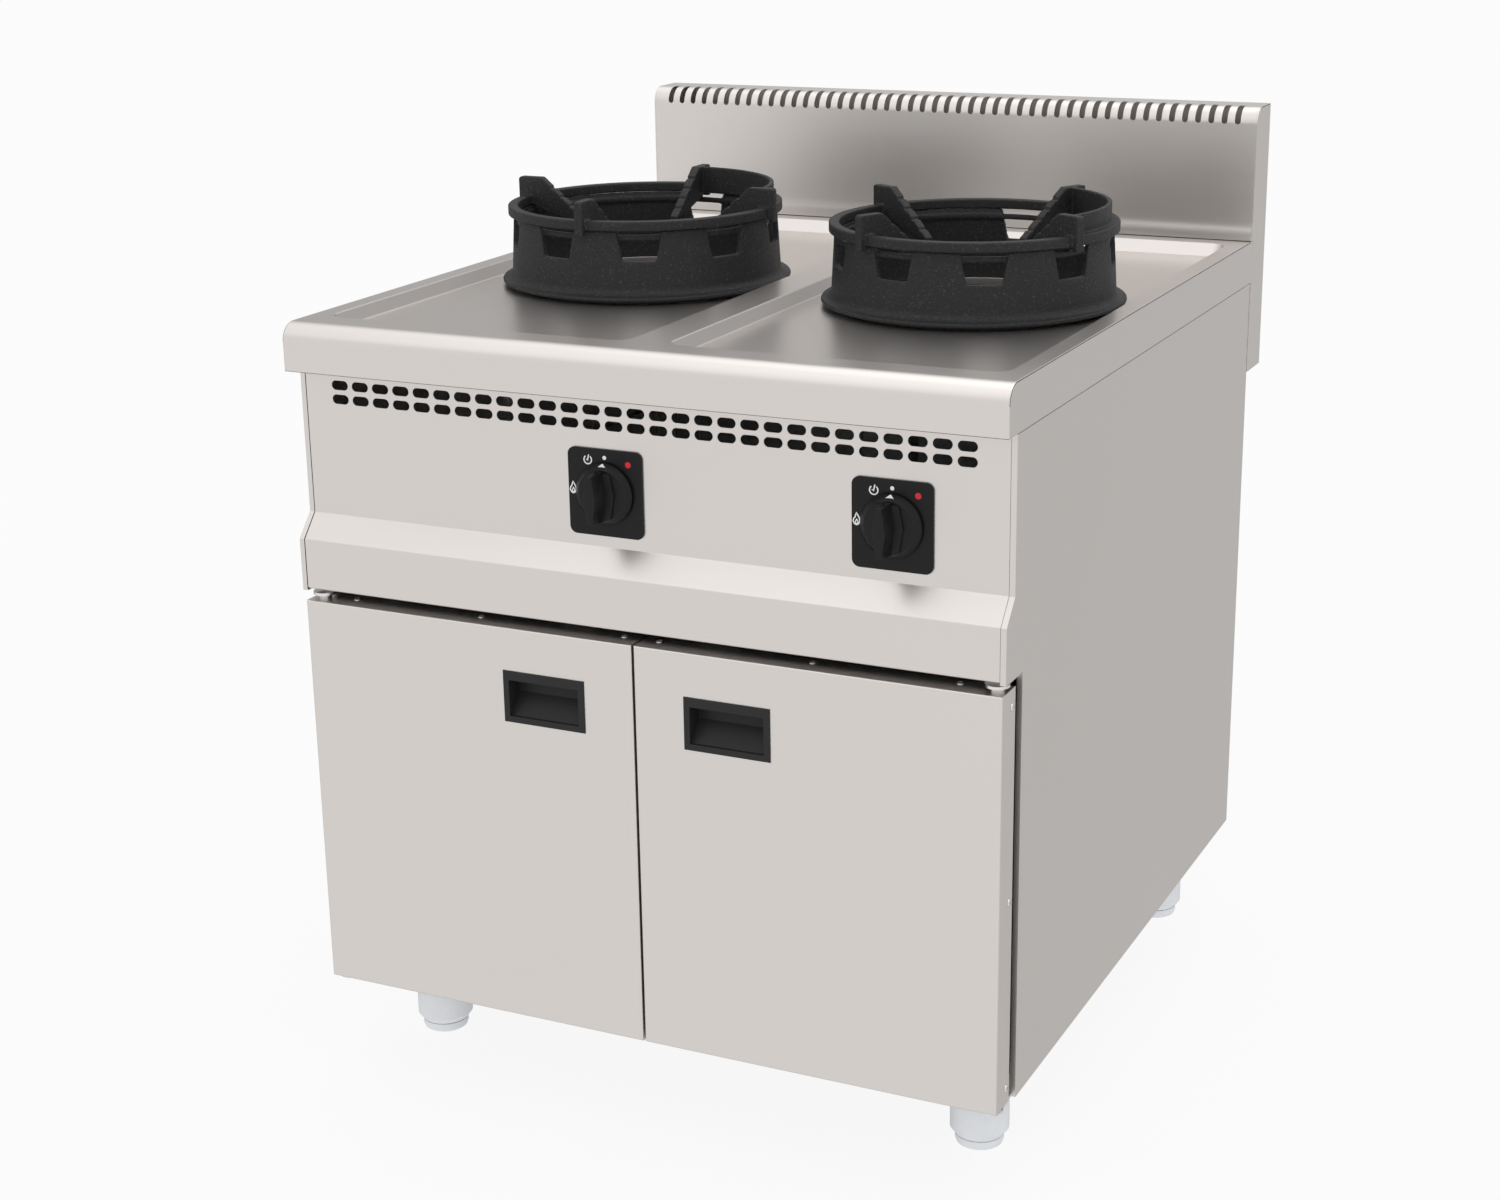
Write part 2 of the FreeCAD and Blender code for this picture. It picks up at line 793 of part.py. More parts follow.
def hinge_plate(z):
    """Flat bracket reaching forward from the case, rounded round the pivot, with the pivot bore."""
    x0, x1 = case_inner - seam - hinge_plate_width, case_inner - seam
    arm = block(x0, x1, hinge_y, case_front + hinge_plate_width, z, z + hinge_plate_thickness)
    nose = rod(hinge_x - x0, V(hinge_x, hinge_y, z), V(hinge_x, hinge_y, z + hinge_plate_thickness))
    bore = rod(hinge_pin_radius + running_fit, V(hinge_x, hinge_y, z - 1),
               V(hinge_x, hinge_y, z + hinge_plate_thickness + 1))
    return arm.fuse(nose).cut(bore).removeSplitter()


def hinge_plates():
    right = [hinge_plate(header_bottom - hinge_plate_thickness),
             hinge_plate(case_bottom - hinge_plate_thickness)]
    return group(right + [mirrored(plate) for plate in right])


def magnet_catches():
    """Magnet blocks hanging from the header, facing the strikes."""
    x0 = door_gap / 2 + door_gauge + strike_inset
    y0 = door_front + door_thickness + strike_thickness + seam
    low = door_top - door_gauge - strike_height
    right = block(x0, x0 + strike_width, y0, y0 + catch_depth, low, header_bottom)
    return group([right, mirrored(right)])


# ---- controls ----
def bezel(x):
    w, h = bezel_width / 2, bezel_height / 2
    y0, y1 = panel_y - bezel_thickness, panel_y
    plate = block(x - w, x + w, y0, y1, control_z - h, control_z + h)
    plate = plate.makeFillet(bezel_corner, [e for e in plate.Edges if is_along(e, V(0, 1, 0))])
    return plate.cut(rod(plug_radius, V(x, y0 - 1, control_z), V(x, y1 + 1, control_z)))


def knob_rear():
    return panel_y - bezel_thickness - knob_travel - seam


def six_sided(x, y, length, width, belly):
    """Upright bar outline whose two long sides each stand out to a knee at mid-height."""
    half = length / 2
    w = width / 2
    return polygon([V(x - w, y, control_z + half), V(x + w, y, control_z + half),
                    V(x + w + belly, y, control_z), V(x + w, y, control_z - half),
                    V(x - w, y, control_z - half), V(x - w - belly, y, control_z)])


def knob(x):
    """Conical skirt, a low stepped base on its face, a drafted grip and a blind bore for the spindle."""
    y1 = knob_rear()
    y_face = y1 - knob_skirt_depth
    y_step = y_face - knob_step_height
    skirt = Part.makeCone(knob_radius, knob_face_radius, knob_skirt_depth, V(x, y1, control_z), V(0, -1, 0))
    step = Part.Face(six_sided(x, y_face, knob_step_length, knob_step_width, knob_step_belly))
    foot = six_sided(x, y_step, knob_grip_length + 2 * knob_grip_draft,
                     knob_grip_width + 2 * knob_grip_draft, knob_grip_belly)
    tip = six_sided(x, y_step - knob_grip_height, knob_grip_length, knob_grip_width, knob_grip_belly)
    grip = Part.makeLoft([foot, tip], True, True)
    body = fused([skirt, step.extrude(V(0, -knob_step_height, 0)), grip])
    return body.cut(rod(spindle_radius + running_fit, V(x, spindle_front(), control_z),
                        V(x, y1 + 1, control_z)))


def spindle_front():
    return knob_rear() - knob_skirt_depth - spindle_grip_depth


def plug_front():
    return panel_y + case_gauge + valve_front_wall


def spindle(x):
    """Control shaft from the knob into the valve plug."""
    y1 = plug_front() + plug_length - knob_travel - seam
    return rod(spindle_radius, V(x, spindle_front(), control_z), V(x, y1, control_z))


def valve_plug(x):
    y0 = plug_front()
    body = rod(plug_radius, V(x, y0, control_z), V(x, y0 + plug_length, control_z))
    return body.cut(rod(spindle_radius + running_fit, V(x, y0 - 1, control_z),
                        V(x, y0 + plug_length + 1, control_z)))


def valve_body(x):
    """Gas tap behind the panel: plug chamber, foot down to the manifold and rear outlet."""
    y0 = panel_y + case_gauge
    y1 = y0 + valve_length
    body = rod(valve_radius, V(x, y0, control_z), V(x, y1, control_z))
    pipe = V(x, manifold_y, manifold_z)
    neck = block(x - plug_radius, x + plug_radius, pipe.y - plug_radius, pipe.y + plug_radius,
                 pipe.z, control_z)
    saddle = rod(manifold_radius, pipe - V(valve_length, 0, 0), pipe + V(valve_length, 0, 0))
    body = body.fuse(neck).cut(saddle)
    chamber = rod(plug_radius + running_fit, V(x, plug_front(), control_z),
                  V(x, plug_front() + plug_length + running_fit, control_z))
    nose = rod(spindle_radius + running_fit, V(x, y0 - 1, control_z), V(x, plug_front() + 1, control_z))
    return body.cut(chamber).cut(nose).removeSplitter()


def gas_manifold():
    """Header pipe under the taps, turning back to the rear inlet."""
    points = [V(manifold_left, manifold_y, manifold_z), V(manifold_right, manifold_y, manifold_z),
              V(manifold_right, case_rear + case_gauge, manifold_z)]
    pipe = bent_tube(points, manifold_bend, manifold_radius, manifold_radius - manifold_wall)
    cap = rod(manifold_radius - manifold_wall, points[0], points[0] + V(manifold_wall, 0, 0))
    return pipe.fuse(cap)


def gas_inlet():
    """Hexagon and threaded nipple on the rear, for the supply hose."""
    root = V(manifold_right, case_rear + case_gauge, manifold_z)
    corners = [root + V(inlet_hex * math.cos(math.radians(a)), 0, inlet_hex * math.sin(math.radians(a)))
               for a in range(0, 360, 60)]
    hexagon = Part.Face(polygon(corners)).extrude(V(0, inlet_hex_length, 0))
    end = root + V(0, inlet_reach, 0)
    nipple = rod(manifold_radius, root, end)
    bore = rod(manifold_radius - manifold_wall, root - V(0, 1, 0), end + V(0, 1, 0))
    return hexagon.fuse(nipple).cut(bore)


# ---- burners ----
def burner_centre(side):
    return V(side * burner_x, burner_y, 0)


def tube_z():
    return top - burner_floor_drop + tube_radius


def burner_base(side):
    """Cast bowl with its mixing tube running to the front."""
    centre = burner_centre(side)
    low = top - burner_floor_drop
    rim = top - burner_rim_drop
    bowl = turned([(0, low), (burner_radius, low), (burner_radius, rim), (0, rim)], centre)
    start = centre + V(0, -tube_setback, tube_z())
    tube = rod(tube_radius, start, centre + V(0, 0, tube_z()))
    mouth = Part.makeCone(tube_radius + burner_wall, tube_radius, tube_radius, start, V(0, 1, 0))
    body = fused([bowl, tube, mouth])
    hollow = turned([(burner_hub_radius, low + burner_wall), (burner_radius - burner_wall, low + burner_wall),
                     (burner_radius - burner_wall, rim + 1), (burner_hub_radius, rim + 1)], centre)
    bore = rod(tube_bore, start - V(0, 1, 0), centre + V(0, -burner_hub_radius - burner_wall, tube_z()))
    return body.cut(hollow).cut(bore)


def burner_cap(side):
    """Lift-off cap with flame ports cut round its edge, located inside the bowl's rim."""
    centre = burner_centre(side)
    seat = top - burner_rim_drop + lift_gap
    crown = seat + burner_cap_rise
    shoulder = seat + burner_port_depth
    skirt_radius = burner_radius - burner_wall - lift_gap
    profile = [(burner_eye_radius, seat), (skirt_radius - burner_wall, seat),
               (skirt_radius - burner_wall, seat - burner_wall), (skirt_radius, seat - burner_wall),
               (skirt_radius, seat), (burner_cap_radius, seat), (burner_cap_radius, shoulder),
               (burner_hub_radius, crown), (burner_eye_radius, crown)]
    cap = turned(profile, centre)
    ports = []
    for i in range(burner_port_count):
        port = block(burner_cap_radius - burner_port_depth, burner_cap_radius + 1,
                     -burner_port_width / 2, burner_port_width / 2, seat + burner_port_sill, crown)
        port.rotate(V(0, 0, 0), V(0, 0, 1), i * 360 / burner_port_count)
        ports.append(port.translated(centre))
    return cap.cut(group(ports))


def burner_bracket(side):
    """Upright plate on the tray that carries the burner bowl."""
    centre = burner_centre(side)
    low = top - burner_floor_drop
    w = bracket_width / 2
    foot = block(-burner_radius, burner_radius, -w, w, tray_top, tray_top + bracket_gauge)
    shelf = block(-burner_radius, burner_radius, -w, w, low - bracket_gauge, low)
    legs = [block(x0, x0 + bracket_gauge, -w, w, tray_top, low)
            for x0 in (-burner_radius, burner_radius - bracket_gauge)]
    return fused([foot, shelf] + legs).translated(centre)


def injector_start(side):
    return burner_centre(side) + V(0, -tube_setback - injector_gap, tube_z())


def injector(side):
    """Brass jet holder in front of the mixing tube, with a clip to the tube's mouth."""
    tip = injector_start(side)
    holder = rod(injector_radius, tip - V(0, injector_length, 0), tip)
    rim = tube_radius + burner_wall / 2
    clip = block(tip.x - rim, tip.x + rim, tip.y - bracket_gauge, tip.y,
                 tip.z - injector_radius, tip.z + injector_radius)
    arms = [block(tip.x + s * rim - bracket_gauge / 2, tip.x + s * rim + bracket_gauge / 2,
                  tip.y - bracket_gauge, tip.y + injector_gap, tip.z - bracket_gauge, tip.z + bracket_gauge)
            for s in (-1, 1)]
    body = fused([holder, clip] + arms)
    jet = rod(jet_radius, tip - V(0, injector_length + 1, 0), tip + V(0, 1, 0))
    feed = rod(gas_pipe_radius, tip - V(0, injector_length + 1, 0), tip - V(0, injector_length / 2, 0))
    return body.cut(jet).cut(feed)


def tap_x(side):
    return control_x[0] if side < 0 else control_x[1]


def burner_pipe(side):
    """Bent tube from the tap to the injector."""
    start = V(tap_x(side), panel_y + case_gauge + valve_length, control_z)
    end = injector_start(side) - V(0, injector_length / 2, 0)
    turn_y = start.y + gas_pipe_run
    points = [start, V(start.x, turn_y, start.z), V(end.x, turn_y, start.z),
              V(end.x, turn_y, end.z), end]
    return bent_tube(points, gas_pipe_bend, gas_pipe_radius)


def beside_burner(side, angle, radius):
    a = math.radians(angle)
    return burner_centre(side) + V(radius * math.cos(a), radius * math.sin(a), 0)


def flame_stem(side, angle, radius):
    """Upright stem beside the cap, on an ear from the bowl, with a thin lead down to the tray."""
    foot = beside_burner(side, angle, pilot_offset)
    rim = top - burner_rim_drop
    low = rim - burner_wall
    stem = rod(radius, foot + V(0, 0, low - pilot_stem), foot + V(0, 0, rim + pilot_rise))
    lead = rod(pilot_pipe_radius, foot + V(0, 0, tray_top), foot + V(0, 0, low - pilot_stem))
    ear = block(0, pilot_offset, -radius, radius, low - bracket_gauge, low)
    ear.rotate(V(0, 0, 0), V(0, 0, 1), angle)
    bowl = Part.makeCylinder(burner_radius, top, burner_centre(side))
    return fused([stem, lead, ear.translated(burner_centre(side)).cut(bowl)])


def pilot_burner(side):
    return flame_stem(side, pilot_angle, pilot_radius)


def thermocouple(side):
    return flame_stem(side, probe_angle, probe_radius)


# ---- wok collar and ring ----
def collar(side):
    """Cast collar: belled foot, tapered wall, windows along its top and a ledge ring across them."""
    centre = burner_centre(side) + V(0, 0, well_floor + lift_gap)
    lift = collar_foot_lift
    rim = lift + collar_rim_height
    height = collar_top_rise + well_depth - lift_gap
    inner = collar_top_radius - collar_wall
    bore = inner + collar_ledge_width
    ledge = height - collar_ledge_depth
    ledge_low = ledge - collar_ledge_height
    root = bore + collar_ledge_root
    body = turned([(bore, 0), (collar_wall_radius, 0),
                   (collar_wall_radius, lift), (collar_foot_radius, lift), (collar_foot_radius, rim),
                   (collar_wall_radius, rim), (collar_top_radius, height), (bore, height)], centre)
    body = body.makeFillet(collar_flare, rim_edges(body, collar_wall_radius, centre.z + rim))
    rims = rim_edges(body, collar_foot_radius, centre.z + rim) \
        + rim_edges(body, collar_foot_radius, centre.z + lift)
    body = body.makeFillet(collar_rim_round, rims)
    windows = [window_cutter(centre, window_start + i * window_pitch, height) for i in range(window_count)]
    body = body.cut(group(windows))
    return body.fuse(turned([(inner, ledge_low), (root, ledge_low), (root, ledge), (inner, ledge)], centre))


def window_cutter(centre, angle, height):
    """Wedge-sided opening, wider at its top, through the wall at one angle."""
    low = window_bottom_rise + well_depth - lift_gap
    bottom = collar_wall_radius * math.radians(window_bottom_angle) / 2
    upper = collar_wall_radius * math.radians(window_top_angle) / 2
    reach = collar_wall_radius + collar_wall
    start = collar_top_radius - collar_wall - collar_foot_reach
    section = Part.Face(polygon([V(start, -bottom, low), V(start, bottom, low),
                                 V(start, upper, height + 1), V(start, -upper, height + 1)]))
    cutter = section.extrude(V(reach - start, 0, 0))
    cutter.rotate(V(0, 0, 0), V(0, 0, 1), angle)
    return cutter.translated(centre)


def ring_top():
    return top + collar_top_rise + lift_gap + ring_band_height


def notched_slope(start, end):
    """Points along the slope from start to end with square notches cut into it."""
    run = end - start
    pitch = run.Length / (fin_notch_count + 1)
    along = run.normalize()
    inward = V(-along.z, 0, along.x) * fin_notch_depth
    points = []
    for i in range(fin_notch_count):
        near = start + along * (pitch * (i + 1))
        far = near + along * fin_notch_width
        points += [near, near + inward, far + inward, far]
    return [start] + points + [end]


def fin(angle, band_top):
    """One wok support: hook over the band, level top, notched slope to its tip, and a lug in the collar."""
    crest = band_top + fin_rise
    tip = band_top - fin_tip_drop
    band_low = band_top - ring_band_height
    lug_outer = collar_top_radius - collar_wall - seam
    slope = notched_slope(V(fin_reach - fin_flat, 0, crest), V(fin_tip_radius, 0, tip))
    points = [(fin_reach, band_low - fin_hook_drop), (fin_reach, crest - fin_crest_break),
              (fin_reach - fin_crest_break, crest)]
    points += [(p.x, p.z) for p in slope]
    points += [(fin_tip_radius, tip - fin_tip_height), (lug_outer - fin_lug_width, band_low - fin_lug_drop),
               (lug_outer, band_low - fin_lug_drop), (lug_outer, band_low),
               (ring_radius, band_low), (ring_radius, band_low - fin_hook_drop)]
    face = Part.Face(polygon([V(r, -fin_thickness / 2, z) for r, z in points]))
    plate = face.extrude(V(0, fin_thickness, 0))
    plate.rotate(V(0, 0, 0), V(0, 0, 1), angle)
    return plate


def wok_ring(side):
    """Cast ring that seats on the collar: band, four fins and a raised lip over one quarter."""
    turn = ring_turn[0] if side < 0 else ring_turn[1]
    band_top = ring_top()
    band_low = band_top - ring_band_height
    lip_top = band_top + fin_rise - lip_drop
    inner = ring_radius - ring_band_width
    band = turned([(inner, band_low), (ring_radius, band_low), (ring_radius, band_top - ring_edge_break),
                   (ring_radius - ring_edge_break, band_top), (inner, band_top)], V(0, 0, 0))
    lip_face = Part.Face(polygon([V(lip_radius - lip_wall, 0, band_low), V(lip_radius, 0, band_low),
                                  V(lip_radius, 0, lip_top), V(lip_radius - lip_wall, 0, lip_top)]))
    lip = lip_face.revolve(V(0, 0, 0), V(0, 0, 1), 90)
    body = fused([band, lip] + [fin(i * 90, band_top) for i in range(4)])
    body.rotate(V(0, 0, 0), V(0, 0, 1), turn)
    return body.translated(burner_centre(side))


# ---- feet ----
def foot_sleeves():
    bore = foot_bore + running_fit
    sleeve = turned([(bore, foot_sleeve_rise), (foot_mouth_radius, foot_sleeve_rise),
                     (foot_radius, foot_sleeve_rise + foot_sleeve_taper),
                     (foot_radius, case_bottom), (foot_bolt_radius, case_bottom),
                     (foot_bolt_radius, case_bottom - foot_cap), (bore, case_bottom - foot_cap)], V(0, 0, 0))
    return group([sleeve.translated(place) for place in foot_places()])


def foot_bolts():
    """Hexagon bolts from inside the cupboard into the sleeves."""
    bolts = []
    seat = case_bottom + case_gauge
    for place in foot_places():
        corners = [place + V(foot_bolt_head * math.cos(math.radians(a)),
                             foot_bolt_head * math.sin(math.radians(a)), seat) for a in range(0, 360, 60)]
        head = Part.Face(polygon(corners)).extrude(V(0, 0, foot_bolt_radius))
        shank = rod(foot_bolt_radius, place + V(0, 0, seat - foot_bolt_length), place + V(0, 0, seat))
        bolts.append(head.fuse(shank))
    return group(bolts)


def foot_insert(place):
    """Adjustable pad: rounded foot below the sleeve and a stem inside it."""
    middle = foot_pad_height / 2
    profile = [(0, 0), (foot_pad_base, 0), (foot_pad_radius - foot_pad_bevel, foot_pad_bevel),
               (foot_pad_radius, middle), (foot_pad_radius, foot_pad_height), (foot_bore, foot_pad_height),
               (foot_bore, foot_stem_top), (0, foot_stem_top)]
    return turned(profile, place)


# ---- build ----
def build():
    parts = {
        "worktop": worktop(),
        "splashback_shell": splashback_shell(),
        "splashback_end_right": splashback_end(),
        "splashback_end_left": mirrored(splashback_end()),
        "side_panel_right": side_panel(),
        "side_panel_left": mirrored(side_panel()),
        "back_panel": back_panel(),
        "back_panel_screws": back_panel_screws(),
        "cabinet_floor": cabinet_floor(),
        "header_rail": header_rail(),
        "burner_tray": burner_tray(),
        "control_panel": control_panel(),
        "hinge_plates": hinge_plates(),
        "magnet_catches": magnet_catches(),
        "gas_manifold": gas_manifold(),
        "gas_inlet": gas_inlet(),
        "foot_sleeves": foot_sleeves(),
        "foot_bolts": foot_bolts(),
    }
    door_pieces = {"skin": door_skin, "liner": door_liner, "handle": handle,
                   "screws": door_screws, "hinge_pins": hinge_pins}
    for name, make in door_pieces.items():
        parts["door_right_" + name] = make()
        parts["door_left_" + name] = mirrored(parts["door_right_" + name])
    for side, label in ((-1, "left"), (1, "right")):
        for name, make in (("burner_base", burner_base), ("burner_cap", burner_cap),
                           ("burner_bracket", burner_bracket), ("injector", injector),
                           ("burner_pipe", burner_pipe), ("pilot_burner", pilot_burner),
                           ("thermocouple", thermocouple), ("collar", collar), ("wok_ring", wok_ring)):
            parts[name + "_" + label] = make(side)
        for name, make in (("bezel", bezel), ("knob", knob), ("spindle", spindle),
                           ("valve_plug", valve_plug), ("valve_body", valve_body)):
            parts[name + "_" + label] = make(tap_x(side))
    labels = ("front_left", "front_right", "rear_left", "rear_right")
    for label, place in zip(labels, foot_places()):
        parts["foot_insert_" + label] = foot_insert(place)
    return parts


def save(parts):
    os.makedirs("parts", exist_ok=True)
    for name, shape in parts.items():
        shape.exportStep("parts/" + name + ".step")
        print(name, len(shape.Solids), "solid(s)", round(shape.Volume), "mm3", shape.isValid())


save(build())
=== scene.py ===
import bpy
import bmesh
import json
import math
from mathutils import Matrix, Vector


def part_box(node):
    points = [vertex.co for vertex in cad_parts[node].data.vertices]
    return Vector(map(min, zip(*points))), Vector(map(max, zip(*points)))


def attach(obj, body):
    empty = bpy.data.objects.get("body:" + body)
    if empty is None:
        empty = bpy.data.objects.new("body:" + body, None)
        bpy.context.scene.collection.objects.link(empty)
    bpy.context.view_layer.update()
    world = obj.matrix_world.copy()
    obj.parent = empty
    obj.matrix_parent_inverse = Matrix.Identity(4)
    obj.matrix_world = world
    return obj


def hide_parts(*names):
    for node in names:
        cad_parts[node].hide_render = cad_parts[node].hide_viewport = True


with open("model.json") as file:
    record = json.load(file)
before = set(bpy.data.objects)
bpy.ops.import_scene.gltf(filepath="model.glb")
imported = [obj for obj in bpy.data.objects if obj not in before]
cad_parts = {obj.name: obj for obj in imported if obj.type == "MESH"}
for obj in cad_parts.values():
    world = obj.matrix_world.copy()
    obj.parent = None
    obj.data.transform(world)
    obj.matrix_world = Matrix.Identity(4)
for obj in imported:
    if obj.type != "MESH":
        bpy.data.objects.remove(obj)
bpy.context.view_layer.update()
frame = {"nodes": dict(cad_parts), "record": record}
nodes = frame["nodes"]
scene = bpy.context.scene
mm = 0.001
foldAngle = 32       # degrees: an edge bent more than this is drawn sharp
mergeReach = 0.001 * mm
sweptReach = 0.00001
inkSink = 0.05 * mm
print("frame loaded:", len(nodes), "nodes")


# ---------- small helpers ----------
def addNode(tree, kind, values=None, **settings):
    node = tree.nodes.new(kind)
    for name, value in settings.items():
        setattr(node, name, value)
    for key, value in (values or {}).items():
        if isinstance(value, bpy.types.NodeSocket):
            tree.links.new(value, node.inputs[key])
        else:
            node.inputs[key].default_value = value
    return node


def calc(tree, operation, *values):
    return addNode(tree, "ShaderNodeMath", dict(enumerate(values)), operation=operation).outputs[0]


def vectorCalc(tree, operation, *values):
    return addNode(tree, "ShaderNodeVectorMath", dict(enumerate(values)), operation=operation).outputs[0]


def multiplied(tree, first, *others):
    for other in others:
        first = calc(tree, "MULTIPLY", first, other)
    return first


def blendValues(tree, factor, low, high):
    # low + (high - low) * factor
    return calc(tree, "MULTIPLY_ADD", calc(tree, "SUBTRACT", high, low), factor, low)


def ramp(tree, value, start, end, low=0.0, high=1.0, easing="LINEAR"):
    # low at start, high at end, and no further on either side
    return addNode(tree, "ShaderNodeMapRange", {0: value, 1: start, 2: end, 3: low, 4: high},
                   interpolation_type=easing).outputs[0]


def separate(tree, vector):
    return addNode(tree, "ShaderNodeSeparateXYZ", {0: vector}).outputs


def combine(tree, x, y, z):
    return addNode(tree, "ShaderNodeCombineXYZ", {0: x, 1: y, 2: z}).outputs[0]


def noise(tree, position, scale, detail, **more):
    values = dict({"Vector": position, "Scale": scale, "Detail": detail}, **more)
    return addNode(tree, "ShaderNodeTexNoise", values).outputs["Fac"]


def shaded(tree, color, shade):
    tint = vectorCalc(tree, "SCALE", color)
    tree.links.new(shade, tint.node.inputs["Scale"])
    return tint


def newObject(name, data):
    made = bpy.data.objects.new(name, data)
    scene.collection.objects.link(made)
    return made


def meshPiece(name, bm, material, smooth=True):
    mesh = bpy.data.meshes.new(name)
    bm.to_mesh(mesh)
    bm.free()
    mesh.materials.append(material)
    for face in mesh.polygons:
        face.use_smooth = smooth
    mesh.set_sharp_from_angle(angle=math.radians(foldAngle))
    return newObject(name, mesh)


def evaluatedMesh(piece, name):
    # the result of the piece's modifiers; the piece itself goes
    bpy.context.view_layer.update()
    mesh = bpy.data.meshes.new_from_object(piece.evaluated_get(bpy.context.evaluated_depsgraph_get()))
    bpy.data.objects.remove(piece)
    mesh.name = name
    return mesh


def finished(piece, name, material, smoothAngle=foldAngle):
    # the evaluated result as one plain mesh, with no modifier left
    mesh = evaluatedMesh(piece, name)
    mesh.materials.clear()
    mesh.materials.append(material)
    for face in mesh.polygons:
        face.material_index = 0
        face.use_smooth = True
    mesh.set_sharp_from_angle(angle=math.radians(smoothAngle))
    return newObject(name, mesh)


def place(piece, body, slot, *replaced):
    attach(piece, body)
    if replaced:
        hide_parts(*replaced)
    return piece


def middle(node):
    low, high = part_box(node)
    return (low + high) / 2


topLow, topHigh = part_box("worktop")
noseY = topLow.y
topZ = 850 * mm
wellZ = 835 * mm


# ---------- shader node groups ----------
def newGroup(name, inputs, outputs):
    tree = bpy.data.node_groups.new(name, "ShaderNodeTree")
    for label, kind, value in inputs:
        socket = tree.interface.new_socket(name=label, in_out="INPUT", socket_type=kind)
        socket.default_value = value
    for label, kind in outputs:
        tree.interface.new_socket(name=label, in_out="OUTPUT", socket_type=kind)
    return tree, tree.nodes.new("NodeGroupInput"), tree.nodes.new("NodeGroupOutput")


brushedMix = {"shade": 0.35}
sandMix = {
    "patches": 22.0, "pitShare": 0.35, "pitRange": (0.05, 0.22), "pitDepth": 0.35, "edgeRange": (0.995, 0.80),
    "speckRange": (0.58, 0.72), "darkest": 0.62, "shade": 0.40, "rough": 0.46, "patchRough": 0.22,
    "wornSmooth": 0.2,
}
mouldedMix = {"marks": 45.0, "darkest": 0.93, "shade": 0.14, "rough": 0.16}


def brushedGrainGroup():
    # fine lines along the brushing, and broad faint smudges left by wiping
    tree, given, out = newGroup(
        "brushedGrain",
        [("Position", "NodeSocketVector", (0, 0, 0)), ("Stretch", "NodeSocketVector", (6, 900, 900)),
         ("Smudge Size", "NodeSocketFloat", 0.25), ("Color", "NodeSocketColor", (0.7, 0.66, 0.63, 1)),
         ("Roughness", "NodeSocketFloat", 0.36), ("Grain Amount", "NodeSocketFloat", 0.05),
         ("Smudge Amount", "NodeSocketFloat", 0.05)],
        [("Color", "NodeSocketColor"), ("Roughness", "NodeSocketFloat"), ("Height", "NodeSocketFloat")])
    given = given.outputs
    along = vectorCalc(tree, "MULTIPLY", given["Position"], given["Stretch"])
    grain = noise(tree, along, 1.0, 2.0)
    smudgeScale = calc(tree, "DIVIDE", 1.0, given["Smudge Size"])
    smudge = noise(tree, given["Position"], smudgeScale, 3.0, Roughness=0.55)
    grainPart = multiplied(tree, calc(tree, "SUBTRACT", grain, 0.5), given["Grain Amount"])
    smudgePart = multiplied(tree, calc(tree, "SUBTRACT", smudge, 0.5), given["Smudge Amount"])
    marks = calc(tree, "ADD", grainPart, smudgePart)
    shade = calc(tree, "MULTIPLY_ADD", marks, brushedMix["shade"], 1.0)
    tree.links.new(shaded(tree, given["Color"], shade), out.inputs["Color"])
    tree.links.new(calc(tree, "ADD", given["Roughness"], marks), out.inputs["Roughness"])
    tree.links.new(grain, out.inputs["Height"])
    return tree


